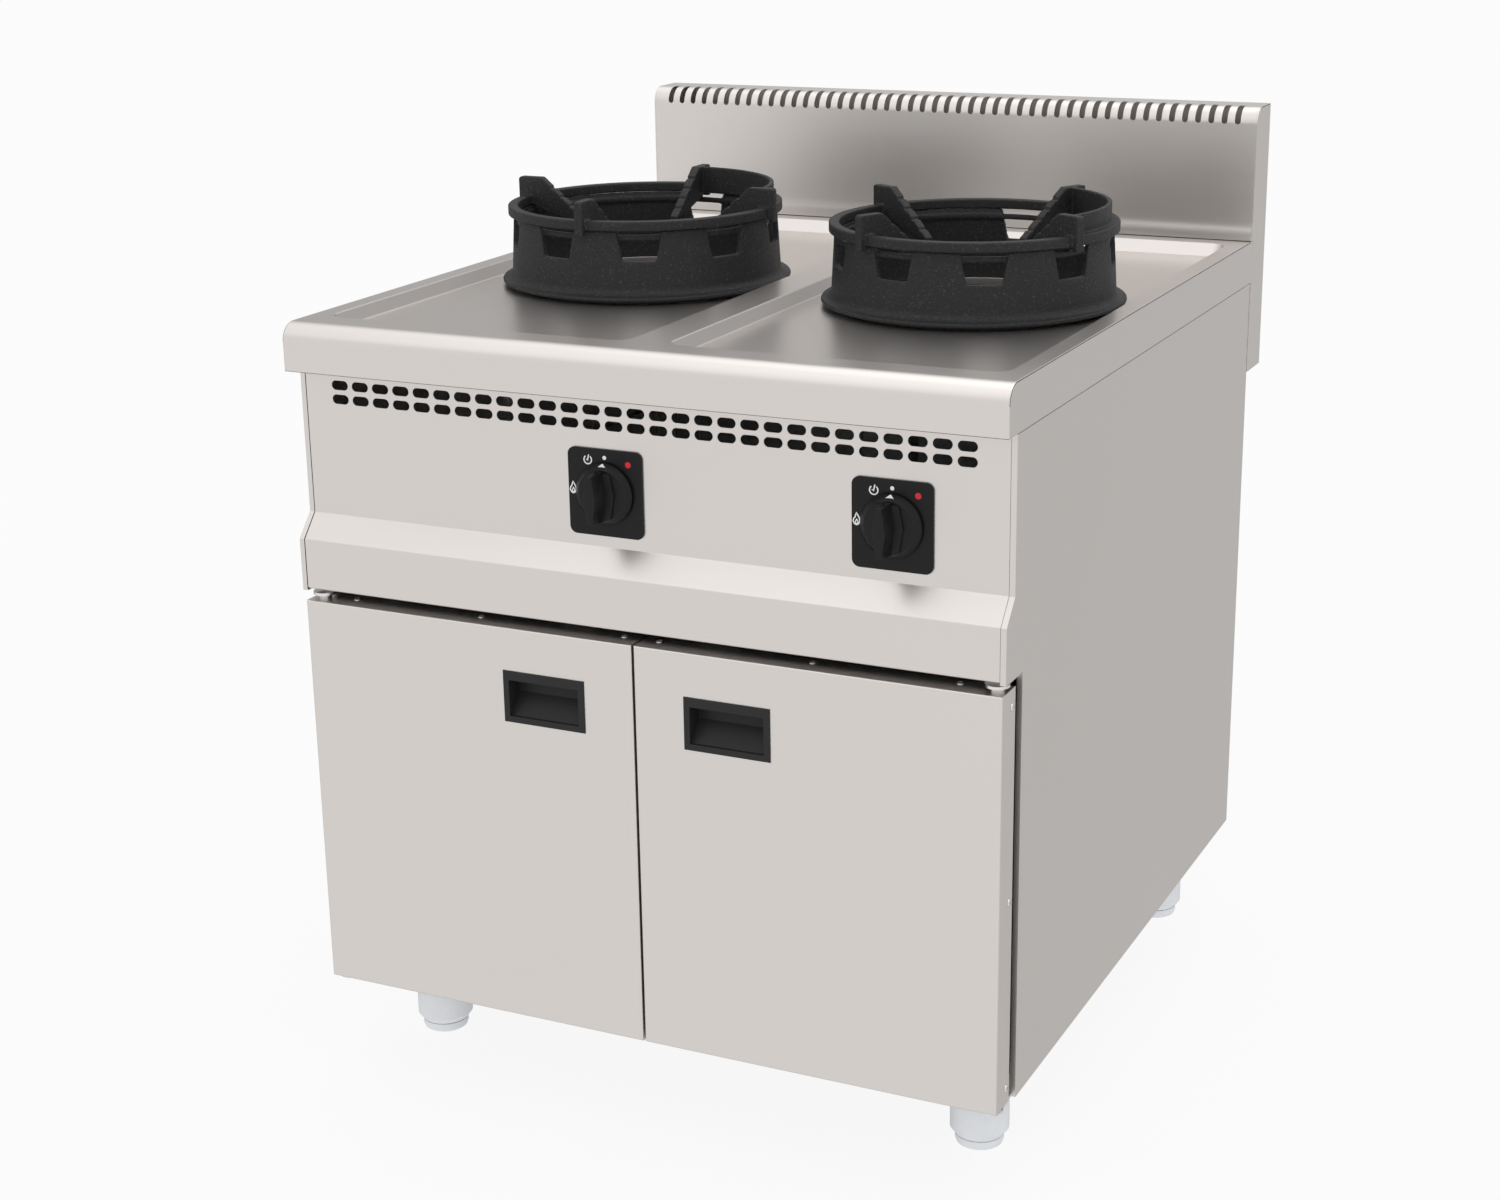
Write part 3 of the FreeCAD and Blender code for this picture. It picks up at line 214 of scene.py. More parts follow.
def sandGrainGroup():
    # casting skin: coarse and fine sand marks, a few shallow pits, and brighter edges: rubbed metal and
    # painted highlight
    tree, given, out = newGroup(
        "sandGrain",
        [("Position", "NodeSocketVector", (0, 0, 0)), ("Grain Size", "NodeSocketFloat", 0.0016),
         ("Color", "NodeSocketColor", (0.04, 0.04, 0.042, 1)),
         ("Rubbed And Lit Color", "NodeSocketColor", (0.12, 0.12, 0.12, 1)),
         ("Edge Width", "NodeSocketFloat", 0.0015), ("Edge Wear And Highlight", "NodeSocketFloat", 0.5),
         ("Speck Amount", "NodeSocketFloat", 0.3)],
        [("Color", "NodeSocketColor"), ("Roughness", "NodeSocketFloat"), ("Height", "NodeSocketFloat")])
    given, m = given.outputs, sandMix
    scale = calc(tree, "DIVIDE", 1.0, given["Grain Size"])
    coarse = noise(tree, given["Position"], scale, 3.0, Roughness=0.6)
    patch = noise(tree, given["Position"], m["patches"], 3.0)
    pits = addNode(tree, "ShaderNodeTexVoronoi",
                   {"Vector": given["Position"], "Scale": multiplied(tree, scale, m["pitShare"])})
    pit = ramp(tree, pits.outputs["Distance"], *m["pitRange"])
    # edges found from the rounded normal get the brighter colour: rubbed metal and painted highlight together
    rounded = addNode(tree, "ShaderNodeBevel", {"Radius": given["Edge Width"]}, samples=4).outputs[0]
    facing = addNode(tree, "ShaderNodeNewGeometry").outputs["Normal"]
    same = addNode(tree, "ShaderNodeVectorMath", {0: rounded, 1: facing}, operation="DOT_PRODUCT")
    edge = ramp(tree, same.outputs["Value"], *m["edgeRange"])
    rubbedAndLitEdge = multiplied(tree, edge, given["Edge Wear And Highlight"], coarse)
    speck = multiplied(tree, ramp(tree, coarse, *m["speckRange"]), given["Speck Amount"])
    wornAndLit = calc(tree, "MAXIMUM", speck, rubbedAndLitEdge)
    shade = calc(tree, "MULTIPLY_ADD", calc(tree, "ADD", coarse, patch), m["shade"], m["darkest"])
    mixed = addNode(tree, "ShaderNodeMix", {"Factor": wornAndLit}, data_type="RGBA")
    tree.links.new(shaded(tree, given["Color"], shade), mixed.inputs[6])
    tree.links.new(given["Rubbed And Lit Color"], mixed.inputs[7])
    rough = calc(tree, "SUBTRACT", calc(tree, "MULTIPLY_ADD", patch, m["patchRough"], m["rough"]),
                 multiplied(tree, wornAndLit, m["wornSmooth"]))
    tree.links.new(mixed.outputs[2], out.inputs["Color"])
    tree.links.new(rough, out.inputs["Roughness"])
    tree.links.new(calc(tree, "MULTIPLY_ADD", pit, m["pitDepth"], coarse), out.inputs["Height"])
    return tree


def mouldedGrainGroup():
    # spark-eroded mould texture with faint handling marks
    tree, given, out = newGroup(
        "mouldedGrain",
        [("Position", "NodeSocketVector", (0, 0, 0)), ("Grain Size", "NodeSocketFloat", 0.0005),
         ("Color", "NodeSocketColor", (0.045, 0.047, 0.05, 1)), ("Roughness", "NodeSocketFloat", 0.45)],
        [("Color", "NodeSocketColor"), ("Roughness", "NodeSocketFloat"), ("Height", "NodeSocketFloat")])
    given, m = given.outputs, mouldedMix
    fine = noise(tree, given["Position"], calc(tree, "DIVIDE", 1.0, given["Grain Size"]), 1.0)
    marks = noise(tree, given["Position"], m["marks"], 4.0)
    shade = calc(tree, "MULTIPLY_ADD", marks, m["shade"], m["darkest"])
    rough = calc(tree, "MULTIPLY_ADD", calc(tree, "SUBTRACT", marks, 0.5), m["rough"], given["Roughness"])
    tree.links.new(shaded(tree, given["Color"], shade), out.inputs["Color"])
    tree.links.new(rough, out.inputs["Roughness"])
    tree.links.new(fine, out.inputs["Height"])
    return tree


brushedGrain = brushedGrainGroup()
sandGrain = sandGrainGroup()
mouldedGrain = mouldedGrainGroup()


# ---------- materials ----------
def surfaceMaterial(name, group, look):
    material = bpy.data.materials.new(name)
    material.use_nodes = True
    tree = material.node_tree
    shader = tree.nodes["Principled BSDF"]
    position = addNode(tree, "ShaderNodeTexCoord").outputs["Object"]
    grain = addNode(tree, "ShaderNodeGroup", node_tree=group)
    tree.links.new(position, grain.inputs["Position"])
    for key, value in look["grain"].items():
        grain.inputs[key].default_value = value
    for key, value in look["shader"].items():
        shader.inputs[key].default_value = value
    rounded = addNode(tree, "ShaderNodeBevel", {"Radius": look["edge"]}, samples=4).outputs[0]
    color = grain.outputs["Color"]
    if look.get("lean"):
        rounded, shade = leaningWalls(tree, rounded, wallShading)
        # painted shade on the well side walls, multiplied into the colour
        color = shaded(tree, color, shade)
    bump = addNode(tree, "ShaderNodeBump", {"Strength": look["bump"], "Distance": look["bumpDepth"],
                                            "Height": grain.outputs["Height"], "Normal": rounded})
    tree.links.new(color, shader.inputs["Base Color"])
    tree.links.new(grain.outputs["Roughness"], shader.inputs["Roughness"])
    tree.links.new(bump.outputs[0], shader.inputs["Normal"])
    return material


# sideShade, middle and shadeReach set the painted shade on the well side walls
wallShading = {
    "steep": 0.6, "halfWidth": 0.3815, "low": 0.8345, "front": 0.030, "rear": 0.825, "holeReach": 0.120,
    "rearLean": 0.42, "sideLean": 1.5, "sideShade": 0.34, "middle": 0.8425, "shadeReach": 0.0062,
}


def leaningWalls(tree, rounded, s):
    # the spill wells' walls are lit as if they leaned out further; the side walls get painted shade, but for a
    # line at rim and floor left lighter as a painted highlight; the lipped holes keep their own normals
    spot = separate(tree, addNode(tree, "ShaderNodeTexCoord").outputs["Object"])
    flat = separate(tree, addNode(tree, "ShaderNodeNewGeometry").outputs["True Normal"])
    centre = middle("burner_cap_right")
    across = calc(tree, "ABSOLUTE", spot[0])
    fromHole = combine(tree, calc(tree, "SUBTRACT", across, centre.x),
                       calc(tree, "SUBTRACT", spot[1], centre.y), 0.0)
    outside = addNode(tree, "ShaderNodeVectorMath", {0: fromHole}, operation="LENGTH").outputs["Value"]
    offMiddle = calc(tree, "ABSOLUTE", calc(tree, "SUBTRACT", spot[2], s["middle"]))
    wall = multiplied(tree, calc(tree, "LESS_THAN", calc(tree, "ABSOLUTE", flat[2]), s["steep"]),
                      calc(tree, "LESS_THAN", across, s["halfWidth"]),
                      calc(tree, "GREATER_THAN", spot[2], s["low"]),
                      calc(tree, "GREATER_THAN", spot[1], noseY + s["front"]),
                      calc(tree, "LESS_THAN", spot[1], noseY + s["rear"]),
                      calc(tree, "GREATER_THAN", outside, s["holeReach"]))
    sideways = calc(tree, "GREATER_THAN", calc(tree, "ABSOLUTE", flat[0]), calc(tree, "ABSOLUTE", flat[1]))
    lean = blendValues(tree, sideways, s["rearLean"], s["sideLean"])
    upward = combine(tree, 0.0, 0.0, multiplied(tree, wall, lean))
    between = calc(tree, "LESS_THAN", offMiddle, s["shadeReach"])
    # painted shade: side walls darkened in a band about the middle, rim and floor lines left light as painted
    # highlight
    paintedWallShade = multiplied(tree, wall, sideways, between, s["sideShade"])
    shade = calc(tree, "SUBTRACT", 1.0, paintedWallShade)
    return vectorCalc(tree, "NORMALIZE", vectorCalc(tree, "ADD", rounded, upward)), shade


def steelLook(color, roughness, stretch, grainAmount=0.05, smudgeAmount=0.06, edge=0.0006):
    return {"grain": {"Color": (*color, 1), "Roughness": roughness, "Stretch": stretch,
                      "Grain Amount": grainAmount, "Smudge Amount": smudgeAmount},
            "shader": {"Metallic": 1.0, "IOR": 2.2}, "edge": edge, "bump": 0.06, "bumpDepth": 0.0001}


def plasticLook(color, roughness, grainSize=0.0006, edge=0.0005, bump=0.12):
    return {"grain": {"Color": (*color, 1), "Roughness": roughness, "Grain Size": grainSize},
            "shader": {"IOR": 1.29}, "edge": edge, "bump": bump, "bumpDepth": 0.0001}


alongX = (7, 800, 800)
alongY = (800, 7, 800)
alongZ = (800, 800, 7)
steelColor = (0.700, 0.664, 0.636)
looks = {
    "worktopSteel": (brushedGrain, dict(steelLook(steelColor, 0.315, alongY, 0.02, 0.03, 0.0008),
                                        bump=0.004, lean=True)),
    "splashSteel": (brushedGrain, steelLook(steelColor, 0.385, alongX)),
    "panelSteel": (brushedGrain, steelLook(steelColor, 0.36, alongX)),
    "doorSteel": (brushedGrain, steelLook(steelColor, 0.37, alongX)),
    "sideSteel": (brushedGrain, steelLook(steelColor, 0.37, alongZ)),
    "casingSteel": (brushedGrain, steelLook((0.52, 0.52, 0.52), 0.45, alongZ, 0.10, 0.16)),
    "brightSteel": (brushedGrain, steelLook((0.78, 0.77, 0.76), 0.22, alongY, 0.04, 0.06, 0.0003)),
    "gasPipe": (brushedGrain, steelLook((0.74, 0.74, 0.74), 0.30, alongZ, 0.06, 0.08, 0.0003)),
    "brassFitting": (brushedGrain, steelLook((0.72, 0.50, 0.22), 0.28, alongZ, 0.08, 0.12, 0.0003)),
    "castIron": (sandGrain, {"grain": {"Color": (0.017, 0.017, 0.0185, 1), "Edge Wear And Highlight": 0.45,
                                       "Grain Size": 0.0022, "Speck Amount": 0.45},
                             "shader": {"Metallic": 0.0, "IOR": 1.38}, "edge": 0.0009,
                             "bump": 0.75, "bumpDepth": 0.0010}),
    "burnerIron": (sandGrain, {"grain": {"Color": (0.055, 0.053, 0.052, 1), "Edge Wear And Highlight": 0.3},
                               "shader": {"Metallic": 0.2, "IOR": 1.5}, "edge": 0.0006,
                               "bump": 0.4, "bumpDepth": 0.0006}),
    "knobPlastic": (mouldedGrain, plasticLook((0.010, 0.010, 0.011), 0.38)),
    "platePlastic": (mouldedGrain, plasticLook((0.009, 0.009, 0.010), 0.42)),
    "handlePlastic": (mouldedGrain, plasticLook((0.021, 0.021, 0.0225), 0.44, 0.0008)),
    "footPlastic": (mouldedGrain, plasticLook((0.78, 0.80, 0.83), 0.40)),
    "whitePrint": (mouldedGrain, plasticLook((0.86, 0.86, 0.86), 0.55, 0.0003, 0.0001, 0.05)),
    # near-black colour of the joint and gap rods: painted shade
    "paintedSeamShade": (mouldedGrain, plasticLook((0.016, 0.015, 0.014), 0.60, 0.0010)),
    "redPrint": (mouldedGrain, plasticLook((0.62, 0.03, 0.04), 0.50, 0.0003, 0.0001, 0.05)),
}
materials = {name: surfaceMaterial(name, group, look) for name, (group, look) in looks.items()}

nodeFinish = {
    "worktop": "worktopSteel", "splashback_shell": "splashSteel", "splashback_end": "splashSteel",
    "side_panel": "sideSteel", "control_panel": "panelSteel", "door": "doorSteel",
    "back_panel": "casingSteel", "cabinet_floor": "casingSteel", "header_rail": "casingSteel",
    "burner_tray": "casingSteel", "burner_bracket": "casingSteel", "gas_manifold": "casingSteel",
    "gas_inlet": "casingSteel", "hinge_plates": "brightSteel", "back_panel_screws": "brightSteel",
    "foot_bolts": "brightSteel", "spindle": "brightSteel", "pilot_burner": "brightSteel",
    "thermocouple": "brightSteel", "collar": "castIron", "wok_ring": "castIron",
    "burner_base": "burnerIron", "burner_cap": "burnerIron", "knob": "knobPlastic", "bezel": "platePlastic",
    "magnet_catches": "handlePlastic", "valve_plug": "brassFitting", "valve_body": "brassFitting",
    "injector": "brassFitting", "burner_pipe": "gasPipe", "foot_sleeves": "footPlastic",
    "foot_insert": "footPlastic",
}
partFinish = {"_handle": "handlePlastic", "_screws": "brightSteel", "_hinge_pins": "brightSteel"}


def finishOf(node):
    for ending, finish in partFinish.items():
        if node.endswith(ending):
            return finish
    starts = [start for start in nodeFinish if node.startswith(start)]
    return nodeFinish[max(starts, key=len)]


for node, piece in nodes.items():
    for slot in piece.material_slots:
        slot.material = materials[finishOf(node)]
print("materials made:", len(materials))


# ---------- pressed sheet and mouldings with clean creases ----------
creaseSizes = {
    "angle": 24.0, "wellInner": 21.0, "wellOuter": 379.0, "wellFront": 50.0, "wellRear": 812.0,
    "wellCorner": 20.0, "wellSlope": 5.5, "floorReach": 0.02, "rimReach": 0.1,
}
creasedNodes = [
    "worktop", "splashback_shell", "splashback_end_left", "splashback_end_right", "control_panel",
    "side_panel_left", "side_panel_right", "back_panel", "door_left_skin", "door_right_skin",
    "door_left_handle", "door_right_handle", "bezel_left", "bezel_right", "foot_sleeves",
    "foot_insert_front_left", "foot_insert_front_right", "foot_insert_rear_left", "foot_insert_rear_right",
]


def bodyOf(node):
    return next(body for body, members in frame["record"]["behaviour"]["bodies"].items() if node in members)


def slotOf(node):
    return next(row["material_slot"] for row in frame["record"]["subparts"] if row["node"] == node)


def slopeWells(bm, s):
    # the spill wells' floors are drawn in a little, so their walls lean out towards the rims
    corner = s["wellCorner"] * mm
    x0, x1 = (s["wellInner"] * mm + corner, s["wellOuter"] * mm - corner)
    y0, y1 = (noseY + s["wellFront"] * mm + corner, noseY + s["wellRear"] * mm - corner)
    for vert in bm.verts:
        if abs(vert.co.z - wellZ) > s["floorReach"] * mm:
            continue
        side = 1 if vert.co.x > 0 else -1
        spot = Vector((abs(vert.co.x), vert.co.y))
        core = Vector((min(max(spot.x, x0), x1), min(max(spot.y, y0), y1)))
        away = spot - core
        if abs(away.length - corner) < s["rimReach"] * mm:
            spot = core + away * (1 - s["wellSlope"] / s["wellCorner"])
            vert.co.x, vert.co.y = side * spot.x, spot.y


def creasedCopy(node, s, cutter=None):
    # the node's own surface, flats kept flat right up to each bend
    bm = bmesh.new()
    bm.from_mesh(nodes[node].data)
    bmesh.ops.remove_doubles(bm, verts=bm.verts, dist=mergeReach)
    if node == "worktop":
        slopeWells(bm, s)
    copy = meshPiece("creased", bm, materials[finishOf(node)])
    copy.data.attributes.remove(copy.data.attributes["custom_normal"])
    if cutter:
        groove = copy.modifiers.new("groove", "BOOLEAN")
        groove.operation = "DIFFERENCE"
        groove.solver = "EXACT"
        groove.object = cutter
        copy = finished(copy, "grooved", materials[finishOf(node)])
    copy.data.set_sharp_from_angle(angle=math.radians(s["angle"]))
    copy.data.update()
    weighted = copy.modifiers.new("weighted", "WEIGHTED_NORMAL")
    weighted.keep_sharp = True
    weighted.weight = 100
    name = "creased_" + node
    plain = newObject(name, evaluatedMesh(copy, name))
    place(plain, bodyOf(node), slotOf(node), node)


# ---------- geometry node helpers ----------
def newNodesTree(name, inputs):
    tree = bpy.data.node_groups.new(name, "GeometryNodeTree")
    tree.is_modifier = True
    tree.interface.new_socket(name="Geometry", in_out="INPUT", socket_type="NodeSocketGeometry")
    for label, value in inputs.items():
        kind = "NodeSocketInt" if isinstance(value, int) else "NodeSocketFloat"
        if isinstance(value, (tuple, Vector)):
            kind = "NodeSocketVector"
        socket = tree.interface.new_socket(name=label, in_out="INPUT", socket_type=kind)
        socket.default_value = value
    tree.interface.new_socket(name="Geometry", in_out="OUTPUT", socket_type="NodeSocketGeometry")
    return tree, tree.nodes.new("NodeGroupInput").outputs


def endTree(tree, geometry, material):
    real = addNode(tree, "GeometryNodeRealizeInstances", {"Geometry": geometry})
    dressed = addNode(tree, "GeometryNodeSetMaterial", {"Geometry": real.outputs[0], "Material": material})
    tree.links.new(dressed.outputs[0], tree.nodes.new("NodeGroupOutput").inputs[0])


def growPiece(name, tree, bm, values, material, extras=(), smoothAngle=foldAngle):
    seed = meshPiece(name + "Seed", bm, material)
    grower = seed.modifiers.new("grow", "NODES")
    grower.node_group = tree
    for item in tree.interface.items_tree:
        if item.in_out == "INPUT" and item.name in values:
            grower[item.identifier] = values[item.name]
    for kind, settings in extras:
        extra = seed.modifiers.new(kind.lower(), kind)
        for key, value in settings.items():
            setattr(extra, key, value)
    return finished(seed, name, material, smoothAngle)


def aroundAxis(tree, radius, angle, height):
    return combine(tree, calc(tree, "MULTIPLY", radius, calc(tree, "COSINE", angle)),
                   calc(tree, "MULTIPLY", radius, calc(tree, "SINE", angle)), height)


def positionParts(tree):
    return separate(tree, addNode(tree, "GeometryNodeInputPosition").outputs[0])


def repeatAround(tree, geometry, count, first, pitch):
    # copies turned about the Z axis
    points = addNode(tree, "GeometryNodeMeshLine", {"Count": count, "Offset": (0, 0, 0)}).outputs[0]
    index = addNode(tree, "GeometryNodeInputIndex").outputs[0]
    angle = calc(tree, "MULTIPLY_ADD", index, pitch, first)
    turn = addNode(tree, "FunctionNodeEulerToRotation", {0: combine(tree, 0.0, 0.0, angle)}).outputs[0]
    return addNode(tree, "GeometryNodeInstanceOnPoints",
                   {"Points": points, "Instance": geometry, "Rotation": turn}).outputs[0]


def turnedSolid(tree, profile, pointCount, segments):
    # a closed outline (radius, 0, height) swept once round Z
    grid = addNode(tree, "GeometryNodeMeshGrid", {"Size X": 1.0, "Size Y": 1.0,
                                                  "Vertices X": calc(tree, "ADD", segments, 1.0),
                                                  "Vertices Y": pointCount}).outputs[0]
    x, y, _ = positionParts(tree)
    angle = calc(tree, "MULTIPLY", calc(tree, "ADD", x, 0.5), 2 * math.pi)
    order = calc(tree, "MULTIPLY", calc(tree, "ADD", y, 0.5), calc(tree, "SUBTRACT", pointCount, 1.0))
    picked = addNode(tree, "GeometryNodeSampleIndex", data_type="FLOAT_VECTOR")
    tree.links.new(profile, picked.inputs["Geometry"])
    tree.links.new(addNode(tree, "GeometryNodeInputPosition").outputs[0], picked.inputs["Value"])
    tree.links.new(calc(tree, "ROUND", order), picked.inputs["Index"])
    radius, _, height = separate(tree, picked.outputs[0])
    swept = addNode(tree, "GeometryNodeSetPosition",
                    {"Geometry": grid, "Position": aroundAxis(tree, radius, angle, height)}).outputs[0]
    return addNode(tree, "GeometryNodeMergeByDistance", {"Geometry": swept, "Distance": sweptReach}).outputs[0]


def bentBar(tree, inner, outer, low, high, start, sweep, steps):
    # a square bar bent round the Z axis
    bar = addNode(tree, "GeometryNodeMeshCube", {"Size": (1, 1, 1), "Vertices X": 2, "Vertices Y": steps,
                                                 "Vertices Z": 2}).outputs[0]
    x, y, z = (calc(tree, "ADD", part, 0.5) for part in positionParts(tree))
    bent = aroundAxis(tree, blendValues(tree, x, inner, outer), calc(tree, "MULTIPLY_ADD", y, sweep, start),
                      blendValues(tree, z, low, high))
    return addNode(tree, "GeometryNodeSetPosition", {"Geometry": bar, "Position": bent}).outputs[0]


def movedTo(tree, geometry, turn, centre):
    return addNode(tree, "GeometryNodeTransform",
                   {"Geometry": geometry, "Translation": centre,
                    "Rotation": combine(tree, 0.0, 0.0, turn)}).outputs[0]


def linesMesh(paths):
    bm = bmesh.new()
    for path in paths:
        verts = [bm.verts.new(p) for p in path]
        for a, b in zip(verts, verts[1:]):
            bm.edges.new((a, b))
    return bm


# ---------- joint lines: fine grooves, and thin dark rods in them and in the gaps as painted shade ---
seamSizes = {
    "groove": 0.45, "bead": 0.36, "sides": 10, "sink": 0.40, "inset": 0.85, "noseRadius": 20.0,
    "arcSteps": 14, "splashFoot": 838.0, "topEnd": 836.0, "splashFace": 842.0, "splashRise": 156.5,
    "splashRadius": 19.0, "splashRear": 896.0, "skirtDrop": 50.0, "skirtBead": 0.42, "skirtShow": 0.50,
    "skirtEnd": 399.4,
    "gapBead": 0.42, "caseFront": 27.0, "gapStop": 30.0, "frontCover": 0.02, "sideCover": 0.04,
    "footBead": 0.55, "footEnd": 398.5, "panelBead": 0.62, "panelSeam": -392.9,
    "panelLine": ((26.05, 798.0), (26.05, 642.0), (3.95, 617.0), (3.95, 562.0)),
}


def seamTree():
    # a thin round dark rod swept along each line of the seed: painted shade in a joint or gap
    tree, given = newNodesTree("seamRod", {"Rod Radius": 0.0005, "Sides": 8})
    line = addNode(tree, "GeometryNodeMeshToCurve", {"Mesh": given["Geometry"]}).outputs[0]
    ring = addNode(tree, "GeometryNodeCurvePrimitiveCircle",
                   {"Resolution": given["Sides"], "Radius": given["Rod Radius"]}).outputs[0]
    rod = addNode(tree, "GeometryNodeCurveToMesh", {"Curve": line, "Profile Curve": ring, "Fill Caps": True})
    endTree(tree, rod.outputs[0], materials["paintedSeamShade"])
    return tree


def cornerSeam(side, depth, front, top, bend, rear, s):
    # level with the side plates: round a bend from facing forward to facing up, then straight back
    x = side * (topHigh.x - depth)
    radius = (bend - s["inset"]) * mm
    centreY, centreZ = noseY + (front + bend) * mm, topZ + (top - bend) * mm
    angles = [math.pi / 2 * i / s["arcSteps"] for i in range(s["arcSteps"] + 1)]
    arc = [Vector((x, centreY - radius * math.cos(a), centreZ + radius * math.sin(a))) for a in angles]
    return arc + [Vector((x, noseY + rear * mm, topZ + (top - s["inset"]) * mm))]


def topSeam(side, s, depth=0.0):
    return cornerSeam(side, depth, 0.0, 0.0, s["noseRadius"], s["topEnd"], s)


def splashSeam(side, s, depth=0.0):
    return cornerSeam(side, depth, s["splashFace"], s["splashRise"], s["splashRadius"], s["splashRear"], s)


def seamRod(name, tree, paths, radius, s):
    return growPiece(name, tree, linesMesh(paths), {"Rod Radius": radius * mm, "Sides": s["sides"]},
                     materials["paintedSeamShade"])


def skirtSeams(s):
    # painted shade: dark rods under the front skirt, and in the open line below each side skirt
    skirtZ = topZ - s["skirtDrop"] * mm
    y = noseY + (s["skirtBead"] + s["frontCover"]) * mm
    z = skirtZ + (s["skirtBead"] - s["skirtShow"]) * mm
    paths = [[Vector((side * s["skirtEnd"] * mm, y, z)) for side in (-1, 1)]]
    for side in (-1, 1):
        x = side * (topHigh.x - (s["gapBead"] + s["sideCover"]) * mm)
        paths.append([Vector((x, y, skirtZ - s["gapBead"] * mm))
                      for y in (noseY + s["caseFront"] * mm, topHigh.y - s["gapStop"] * mm)])
    return paths


def footSeam(s):
    y = noseY + (s["splashFoot"] - s["footBead"] / 2) * mm
    return [Vector((side * s["footEnd"] * mm, y, topZ + s["footBead"] * mm / 4)) for side in (-1, 1)]


def panelSeam(s):
    return [Vector((s["panelSeam"] * mm, noseY + (y + s["panelBead"] / 2) * mm, z * mm))
            for y, z in s["panelLine"]]


seamRods = seamTree()
s = seamSizes
grooveCutters = {
    "worktop": seamRod("topGroove", seamRods, [topSeam(side, s) for side in (-1, 1)], s["groove"], s),
    "splashback_end_left": seamRod("leftGroove", seamRods, [splashSeam(-1, s)], s["groove"], s),
    "splashback_end_right": seamRod("rightGroove", seamRods, [splashSeam(1, s)], s["groove"], s),
}
for node in creasedNodes:
    creasedCopy(node, creaseSizes, grooveCutters.get(node))
for cutter in grooveCutters.values():
    bpy.data.objects.remove(cutter)
print("creased copies made:", len(creasedNodes))
sunk = s["sink"] * mm
inGrooves = [seam(side, s, sunk) for seam in (topSeam, splashSeam) for side in (-1, 1)]
# dark rods as painted shade in the grooves, under the skirts, at the splash foot and at the panel end
for name, paths, radius in (("paintedShadeInGrooves", inGrooves, "bead"),
                            ("paintedShadeUnderSkirt", skirtSeams(s), "skirtBead"),
                            ("paintedShadeAtSplashFoot", [footSeam(s)], "footBead"),
                            ("paintedShadeAtPanelEnd", [panelSeam(s)], "panelBead")):
    place(seamRod(name, seamRods, paths, s[radius], s), "root", "black_plastic")
print("joint lines made")


# ---------- collars ----------
collarSizes = {
    "wallRadius": 154.5, "topRadius": 150.5, "footRadius": 165.4, "wall": 8.0,
    "footLift": 4.4, "rim": 8.7, "flare": 9.0, "rimRound": 1.4, "height": 79.7, "ledgeWidth": 2.5,
    "ledgeLow": 68.7, "ledgeTop": 74.7, "ledgeRoot": 1.5, "seat": 835.3, "windows": 7, "windowPitch": 38.4,
    "firstWindow": -141.8,
    "sill": 46.2, "sillWidth": 36.9, "topWidth": 49.9, "cutReach": 8.0, "cutRise": 1.0, "segments": 180,
    "skin": 1.3, "smoothAngle": 180, "ledgeSteps": 181,
}


def collarTree():
    tree, given = newNodesTree("windowedCollar", {
        "Profile Points": 10, "Segments": 180, "Centre": (0.0, 0.0, 0.0), "Windows": 9, "First Window": 0.0,
        "Window Pitch": 0.6, "Sill Height": 0.04, "Cut Top": 0.09, "Sill Width": 0.03, "Top Width": 0.05,
        "Cut Inner": 0.13, "Cut Outer": 0.17, "Ledge Inner": 0.142, "Ledge Outer": 0.146, "Ledge Low": 0.068,
        "Ledge Top": 0.074})
    wall = turnedSolid(tree, given["Geometry"], given["Profile Points"], given["Segments"])
    block = addNode(tree, "GeometryNodeMeshCube", {"Size": (1, 1, 1)}).outputs[0]
    x, y, z = positionParts(tree)
    rise = calc(tree, "ADD", z, 0.5)
    reach = blendValues(tree, calc(tree, "ADD", x, 0.5), given["Cut Inner"], given["Cut Outer"])
    width = blendValues(tree, rise, given["Sill Width"], given["Top Width"])
    level = blendValues(tree, rise, given["Sill Height"], given["Cut Top"])
    cutterSpot = combine(tree, reach, calc(tree, "MULTIPLY", y, width), level)
    wedge = addNode(tree, "GeometryNodeSetPosition", {"Geometry": block, "Position": cutterSpot}).outputs[0]
    cutters = repeatAround(tree, wedge, given["Windows"], given["First Window"], given["Window Pitch"])
    cut = addNode(tree, "GeometryNodeMeshBoolean", operation="DIFFERENCE")
    tree.links.new(wall, cut.inputs[0])
    real = addNode(tree, "GeometryNodeRealizeInstances", {"Geometry": cutters})
    tree.links.new(real.outputs[0], cut.inputs[1])
    ledge = bentBar(tree, given["Ledge Inner"], given["Ledge Outer"], given["Ledge Low"], given["Ledge Top"],
                    0.0, 2 * math.pi, collarSizes["ledgeSteps"])
    together = addNode(tree, "GeometryNodeJoinGeometry")
    for part in (cut.outputs[0], ledge):
        tree.links.new(part, together.inputs[0])
    endTree(tree, movedTo(tree, together.outputs[0], 0.0, given["Centre"]), materials["castIron"])
    return tree


def arcPoints(centreX, centreZ, radius, start, end, steps):
    angles = [math.radians(start + (end - start) * i / steps) for i in range(steps + 1)]
    return [(centreX + radius * math.cos(a), centreZ + radius * math.sin(a)) for a in angles]


